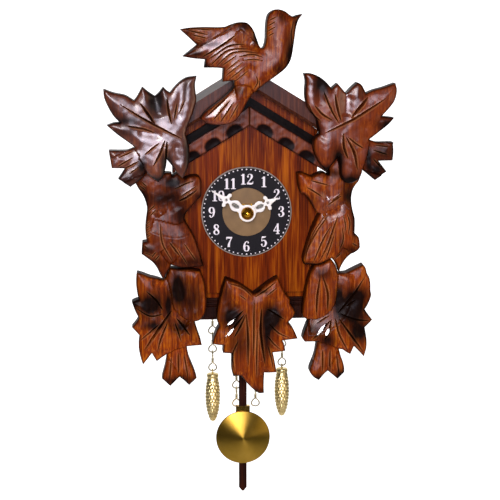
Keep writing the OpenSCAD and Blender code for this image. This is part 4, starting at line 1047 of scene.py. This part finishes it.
def turned(profile, steps=5, corner=35.0):
    """A lathe profile redrawn as a smooth curve between its corners, with so many steps to a point."""
    p = np.array(profile, float)
    step = np.diff(p, axis=0)
    length = np.linalg.norm(step, axis=1)
    unit = step / length[:, None]
    out = []
    last = len(step) - 1

    def direction(i, j):
        """The way that step i runs where it meets step j."""
        both = unit[i] + unit[j]
        gentle = 0 <= j <= last and (unit[i] * unit[j]).sum() > math.cos(math.radians(corner))
        return both / np.linalg.norm(both) if gentle else unit[i]

    for i in range(last + 1):
        start, end = direction(i, i - 1), direction(i, min(i + 1, last))
        out += hermite(p[i], p[i + 1], start * length[i], end * length[i], steps)
    return [tuple(v) for v in out] + [tuple(p[-1])]


def tube(path, radius, sides=8, closed=False):
    """A round wire along a path of (x, y, z) points, as (points, faces)."""
    p = np.array(path, float)
    n = len(p)
    ahead = np.roll(p, -1, 0) - np.roll(p, 1, 0)
    if not closed:
        ahead[0], ahead[-1] = p[1] - p[0], p[-1] - p[-2]
    ahead /= np.linalg.norm(ahead, axis=1)[:, None]
    side = np.cross(ahead[0], (0.3, 0.5, 0.8))
    points = []
    for i in range(n):
        side = side - ahead[i] * (side @ ahead[i])
        side /= np.linalg.norm(side)
        up = np.cross(ahead[i], side)
        for k in range(sides):
            turn = 2 * math.pi * k / sides
            points.append(tuple(p[i] + radius * (math.cos(turn) * side + math.sin(turn) * up)))
    faces = [(a, d, c, b) for a, b, c, d in skin(n, sides, closed)]
    if not closed:
        faces.append(tuple(range(sides))[::-1])
        faces.append(tuple((n - 1) * sides + k for k in range(sides)))
    return points, faces


# ---------------------------------------------------------------- dial and hands

DIAL = (-1.4, -56.0)  # the dial's middle
DIAL_FACE = 37.0      # how far the dial's face stands from the wall
DIGIT = 5.3           # a digit's height

# The digits, each in a box 0.6 wide and 1 high: strokes of (x, z, width), then balls of (x, z, radius).
DIGITS = {
    "0": ([
        [(0.3, 0.97, 0.06), (0.14, 0.86, 0.14), (0.09, 0.5, 0.19), (0.14, 0.14, 0.14), (0.3, 0.03, 0.06)],
        [(0.3, 0.97, 0.06), (0.46, 0.86, 0.14), (0.51, 0.5, 0.19), (0.46, 0.14, 0.14), (0.3, 0.03, 0.06)],
    ], []),
    "1": ([
        [(0.32, 0, 0.2), (0.32, 1, 0.2)],
        [(0.1, 0.035, 0.07), (0.54, 0.035, 0.07)],
        [(0.1, 0.84, 0.05), (0.2, 0.87, 0.09), (0.32, 0.95, 0.12)],
    ], []),
    "2": ([
        [(0.11, 0.75, 0.07), (0.16, 0.91, 0.06), (0.3, 0.97, 0.06), (0.45, 0.9, 0.15), (0.5, 0.75, 0.19),
         (0.43, 0.57, 0.15), (0.26, 0.35, 0.08), (0.07, 0.12, 0.06)],
        [(0.04, 0.08, 0.14), (0.2, 0.1, 0.18), (0.4, 0.07, 0.17), (0.56, 0.1, 0.13)],
        [(0.57, 0.06, 0.08), (0.6, 0.28, 0.04)],
    ], [(0.13, 0.74, 0.09)]),
    "3": ([
        [(0.11, 0.79, 0.06), (0.18, 0.93, 0.06), (0.3, 0.97, 0.06), (0.44, 0.91, 0.14), (0.48, 0.76, 0.18),
         (0.41, 0.6, 0.12), (0.24, 0.54, 0.06)],
        [(0.24, 0.54, 0.06), (0.43, 0.47, 0.12), (0.52, 0.28, 0.2), (0.44, 0.1, 0.14), (0.28, 0.03, 0.06),
         (0.14, 0.08, 0.06), (0.09, 0.2, 0.06)],
    ], [(0.13, 0.77, 0.08), (0.12, 0.22, 0.09)]),
    "4": ([
        [(0.43, 0, 0.17), (0.43, 1, 0.17)],
        [(0.42, 0.96, 0.07), (0.05, 0.31, 0.07)],
        [(0.02, 0.3, 0.08), (0.62, 0.3, 0.08)],
        [(0.26, 0.035, 0.07), (0.6, 0.035, 0.07)],
    ], []),
    "5": ([
        [(0.13, 0.92, 0.15), (0.3, 0.91, 0.15), (0.5, 0.95, 0.09)],
        [(0.14, 0.94, 0.06), (0.11, 0.53, 0.06)],
        [(0.11, 0.52, 0.05), (0.26, 0.61, 0.07), (0.42, 0.56, 0.13), (0.51, 0.36, 0.2), (0.43, 0.11, 0.14),
         (0.28, 0.03, 0.06), (0.14, 0.08, 0.06), (0.09, 0.2, 0.06)],
    ], [(0.12, 0.21, 0.09)]),
    "6": ([
        [(0.49, 0.86, 0.06), (0.42, 0.95, 0.06), (0.3, 0.95, 0.07), (0.15, 0.77, 0.14), (0.09, 0.42, 0.2),
         (0.15, 0.12, 0.14), (0.3, 0.03, 0.06)],
        [(0.3, 0.03, 0.06), (0.45, 0.1, 0.13), (0.51, 0.3, 0.18), (0.45, 0.5, 0.12), (0.3, 0.57, 0.06),
         (0.17, 0.47, 0.06)],
    ], [(0.46, 0.84, 0.08)]),
    "7": ([
        [(0.05, 0.88, 0.16), (0.2, 0.91, 0.17), (0.4, 0.89, 0.16), (0.58, 0.95, 0.08)],
        [(0.05, 0.98, 0.05), (0.04, 0.7, 0.04)],
        [(0.57, 0.95, 0.06), (0.41, 0.64, 0.09), (0.29, 0.32, 0.18), (0.26, 0.01, 0.22)],
    ], []),
    "8": ([
        [(0.3, 0.97, 0.06), (0.16, 0.91, 0.12), (0.12, 0.76, 0.16), (0.19, 0.61, 0.18), (0.32, 0.5, 0.19),
         (0.46, 0.37, 0.17), (0.51, 0.22, 0.13), (0.44, 0.08, 0.09), (0.3, 0.03, 0.06)],
        [(0.3, 0.03, 0.06), (0.15, 0.09, 0.12), (0.09, 0.24, 0.16), (0.15, 0.4, 0.12), (0.3, 0.52, 0.07),
         (0.43, 0.64, 0.07), (0.47, 0.78, 0.11), (0.42, 0.91, 0.1), (0.3, 0.97, 0.06)],
    ], []),
}
DIGITS["9"] = (
    [[(0.6 - x, 1 - z, w) for x, z, w in stroke] for stroke in DIGITS["6"][0]],
    [(0.6 - x, 1 - z, r) for x, z, r in DIGITS["6"][1]],
)


def ribbon(stroke, at, size, back, front):
    """A stroke of changing width drawn as a raised mark."""
    path = curve([(x, z, w) for x, z, w in stroke], 5)
    centre, width = path[:, :2] * size + at, path[:, 2] * size
    ahead = np.gradient(centre, axis=0)
    across = np.column_stack([-ahead[:, 1], ahead[:, 0]]) / np.linalg.norm(ahead, axis=1)[:, None]
    sides = [*(centre + across * width[:, None] / 2), *(centre - across * width[:, None] / 2)]
    points = [(x, -depth, z) for depth in (front, back) for x, z in sides]
    n, faces = len(centre), []
    for i in range(n - 1):
        faces.append((i, i + 1, n + i + 1, n + i))
        faces.append((2 * n + i, 2 * n + i + 1, i + 1, i))
        faces.append((n + i, n + i + 1, 3 * n + i + 1, 3 * n + i))
    faces.append((0, n, 3 * n, 2 * n))
    faces.append((n - 1, 3 * n - 1, 4 * n - 1, 2 * n - 1))
    return points, faces


def spot(at, radius, back, front, sides=16):
    """A small raised disc, slightly domed."""
    return lathe([(radius, back), (radius * 0.85, front), (0.01, front + 0.01)], at, sides)


def on_dial(radius, turn):
    """A point of the dial: its distance from the middle, and its angle from twelve o'clock in degrees."""
    turn = math.radians(turn)
    return np.array([DIAL[0] + radius * math.sin(turn), DIAL[1] + radius * math.cos(turn)])


def make_numerals():
    back, step, parts = DIAL_FACE - 0.05, DIGIT * 0.62, []
    for hour in range(1, 13):
        text = str(hour)
        corner = on_dial(17.3 if hour < 10 else 16.4, 30 * hour) - (step * len(text) / 2, DIGIT / 2)
        for i, digit in enumerate(text):
            strokes, balls = DIGITS[digit]
            at = corner + (i * step, 0)
            for k, stroke in enumerate(strokes):
                parts.append(ribbon(stroke, at, DIGIT, back, DIAL_FACE + 0.06 + 0.006 * k))
            for x, z, radius in balls:
                parts.append(spot(at + DIGIT * np.array([x, z]), radius * DIGIT, back, DIAL_FACE + 0.08))
    fit(solid("dial_numerals", parts), PRINT, "case", "white_plastic")
    dots = []
    for minute in range(60):
        radius = 0.44 if minute % 5 == 0 else 0.37
        dots.append(spot(on_dial(21.3, 6 * minute), radius, back, DIAL_FACE + 0.05, 12))
    fit(solid("dial_dots", dots), PRINT, "case", "white_plastic")


def make_dial():
    hole, edge, face, back = 3.5, 22.35, DIAL_FACE, DIAL_FACE - 1
    disc = lathe([
        (hole, back), (22.1, back), (edge, back + 0.1), (edge, face - 0.25), (22.1, face), (hole, face),
        (hole, back),
    ], DIAL)
    fit(solid("dial_disc", [disc]), DIAL_BLACK, "case", "dial_black", "dial_plate")
    rim = [(22.3, 36.02), (22.58, 36.12), (22.6, 36.7), (22.45, 36.95), (22.15, 37.06), (22, 36.98)]
    fit(solid("dial_rim", [lathe(turned(rim, 3), DIAL)]), DIAL_EDGE, "case", "dial_black")
    middle = [(hole, 36.9), (hole, 37.4), (11.8, 37.4), (12.05, 37.3), (12.1, 37.1), (12.1, 36.9)]
    fit(solid("dial_middle", [lathe(middle, DIAL)]), DIAL_TAN, "case", "dial_beige", "dial_centre")
    make_numerals()


def oval(half_x, half_z, middle, count):
    """An oval hole on a hand's middle line."""
    turns = np.linspace(0, 2 * math.pi, count)[:-1]
    return [(half_x * math.cos(a), middle + half_z * math.sin(a)) for a in turns]


def hand_loops(length, cross, hub, bore, angle):
    """The outline and holes of a pierced hand: a hub, a pierced oval, a cross of lobes and a point."""
    foot = 2.2
    side = [
        (foot, math.sqrt(hub**2 - foot**2)), (2.1, 4.9), (2.7, 6.3), (2.7, 7.6), (1.9, 9),
        (0.95, cross - 2.1), (0.9, cross - 1.3), (1.7, cross - 0.75), (2.9, cross - 1.15),
        (3.7, cross - 0.7), (3.75, cross + 0.3), (3, cross + 0.75), (1.7, cross + 0.85),
        (1.25, cross + 1.7), (0.95, cross + 2.8), (0.15, length),
    ]
    start = math.asin(foot / hub)
    turns = np.linspace(start, 2 * math.pi - start, 40)[1:-1]
    outline = side + [(-x, z) for x, z in side[::-1]]
    outline += [(-hub * math.sin(a), hub * math.cos(a)) for a in turns]
    holes = [oval(bore, bore, 0, 40), oval(0.45, 0.45, cross, 16), oval(0.85, 1.9, 7, 28)]
    c, s = math.cos(math.radians(angle)), math.sin(math.radians(angle))

    def placed(loop):
        return np.array([(DIAL[0] + x * c + z * s, DIAL[1] - x * s + z * c) for x, z in loop])

    return [refine(placed(outline), 0.4, 40)] + [placed(hole) for hole in holes]


def make_hand(name, node, body, front, *shape):
    """A hand with its front a given way from the wall; hand_loops says what shape it takes."""
    thick = 0.42
    loops = hand_loops(*shape)

    def depth_at(flat):
        """The hand's front, with its edges rounded off."""
        return -front + 0.17 * np.clip(1 - nearest(flat, loops) / 0.3, 0, 1) ** 2

    extra = face_points(loops, 0.45, (0.12, 0.3), 0.4)
    blade = slab(loops, -front + thick, depth_at, extra)
    fit(solid(name, [blade]), IVORY, body, "white_plastic", node)


def make_hands():
    make_hand("hour_hand_blade", "hour_hand", "hour_train", 39.9, 17, 11.4, 4.0, 2.52, 65)
    make_hand("minute_hand_blade", "minute_hand", "minute_train", 42.0, 21, 12.3, 4.25, 1.62, -57)
    cap = turned([
        (1.7, 42), (3.05, 42), (3.2, 42.3), (3.1, 42.9), (2.7, 43.7), (1.9, 44.7), (1, 45.5), (0.01, 45.8)
    ])
    fit(solid("hand_cap_dome", [lathe(cap, DIAL, 64)]), SPUN_CAP, "minute_train", "brass", "hand_cap")


# ---------------------------------------------------------------- pendulum, weights and chains

BOB = (-2.1, -177.1)  # the bob's middle
CHAIN_DEPTH = 12.0    # how far the chains hang from the wall


def make_bob():
    r, back = 14.1, 21.05  # its radius, and how far its back stands from the wall
    face = turned([
        (0.01, back), (r - 0.7, back), (r - 0.1, back + 0.15), (r, back + 0.45), (r - 0.12, back + 0.75),
        (r - 0.6, back + 0.95), (10.5, back + 1.85), (7, back + 2.7), (3.4, back + 3.35), (1.2, back + 3.6),
        (0.01, back + 3.62),
    ], 5, 50)
    fit(solid("bob_shell", [lathe(face, BOB, 128)], 50), BOB_BRASS, "bob", "brass", "pendulum_bob")


def cone_radius(t):
    """Half the width of a pine-cone weight, t of the way from its collar to its tip."""
    shape = (
        (0, 0.74), (0.1, 0.84), (0.25, 0.96), (0.42, 1), (0.6, 0.94), (0.76, 0.79), (0.9, 0.55),
        (0.97, 0.36), (1, 0.05),
    )
    return np.interp(t, [a for a, _ in shape], [b for _, b in shape])


def pine_cone(x, top):
    """A weight stamped like a long pine cone: a plain collar, then rows of overlapping scales."""
    half, length, collar, around, rows, segments = 4.1, 26.0, 2.2, 11, 13, 132
    rings = []
    collar_profile = [(0.01, 0), (2.5, 0), (2.95, -0.25), (3.05, -1.1), (2.95, -1.9), (2.75, -collar)]
    for r, z in turned(collar_profile, 4):
        rings.append((z, np.full(segments, r)))
    turn = 2 * math.pi * np.arange(segments) / segments
    steps = 150
    for i in range(1, steps + 1):
        t = i / steps
        row = t * rows
        v = row % 1.0
        u = (turn / (2 * math.pi) * around + (int(row) % 2) / 2) % 1.0
        arch = np.clip(1 - np.abs(2 * u - 1) ** 2.2, 0, 1)
        lift = np.minimum(v / 0.8, (1 - v) / 0.2) * arch
        deep = 0.42 * min(1.0, (1 - t) * 6, t * 8)
        radius = (half - 0.35) * cone_radius(t) + deep * (lift - 0.25)
        rings.append((-collar - (length - collar) * t, np.maximum(radius, 0.01)))
    points = []
    for z, radius in rings:
        across, out = x + radius * np.cos(turn), -CHAIN_DEPTH + radius * np.sin(turn)
        points += zip(across, out, np.full(segments, top + z))
    return points, skin(len(rings), segments)


def ring_of(x, z, radius, wire):
    """A closed wire ring that hangs in the plane across x."""
    turns = np.linspace(0, 2 * math.pi, 25)[:-1]
    path = [(x, -CHAIN_DEPTH + radius * math.sin(a), z + radius * math.cos(a)) for a in turns]
    return tube(path, wire, 8, closed=True)


def link(x, z):
    """A link of bent wire about its middle: two pear-shaped loops a quarter turn apart on a wrapped stem."""
    parts = []
    for way in (1, -1):
        path = []
        for a in np.linspace(0.18, 2 * math.pi - 0.18, 25):
            u = 2.0 * math.sin(a) * (1 - 0.22 * math.cos(a))
            v = way * (3.3 - 2.0 * math.cos(a))
            path.append((x, -CHAIN_DEPTH + u, z + v) if way > 0 else (x + u, -CHAIN_DEPTH, z + v))
        parts.append(tube(path, 0.36))
    turns, reach, radius, helix = 4, 1.35, 0.42, []
    for t in np.linspace(0, 1, 12 * turns + 1):
        a = 2 * math.pi * turns * t
        u, v = radius * math.cos(a), radius * math.sin(a)
        helix.append((x + u, -CHAIN_DEPTH + v, z + reach * (2 * t - 1)))
    parts.append(tube(helix, 0.33, 6))
    return parts


def make_weights_and_chains():
    pitch, wire = 9.9, 0.7  # from link to link, and the wire's thickness
    hangs = (
        ("left_weight", "left_weight_chain", "weight_left", "chain_left_weight", -17.3, -144.9),
        ("right_weight", "right_weight_chain", "weight_right", "chain_right_weight", 19.2, -142.8),
    )
    strands = [
        ("left_free_chain", "chain_left_free", -4.8, 6, -163.4),
        ("right_free_chain", "chain_right_free", 5.2, 6, -163.4),
    ]
    for body, chain, cone, strand, x, top in hangs:
        eye = ring_of(x, top + 1.1, 1.2, wire / 2)
        fit(solid(body + "_cone", [pine_cone(x, top), eye], 50), GILT, body, "gilt", cone)
        strands.append((chain, strand, x, 4, top + 2.65 - 2 * wire - 0.05))
    # Each strand: its body, its node, its x, how many links it has and how low the lowest one reaches.
    for body, node, x, count, low in strands:
        parts = []
        for k in range(count):
            parts += link(x, low + pitch / 2 + wire + k * pitch)
        fit(solid(body + "_links", parts), CHAIN, body, "chain_metal", node)


make_camera()
make_lights()
make_floor()
make_carvings()
make_case()
make_dial()
make_hands()
make_bob()
make_weights_and_chains()
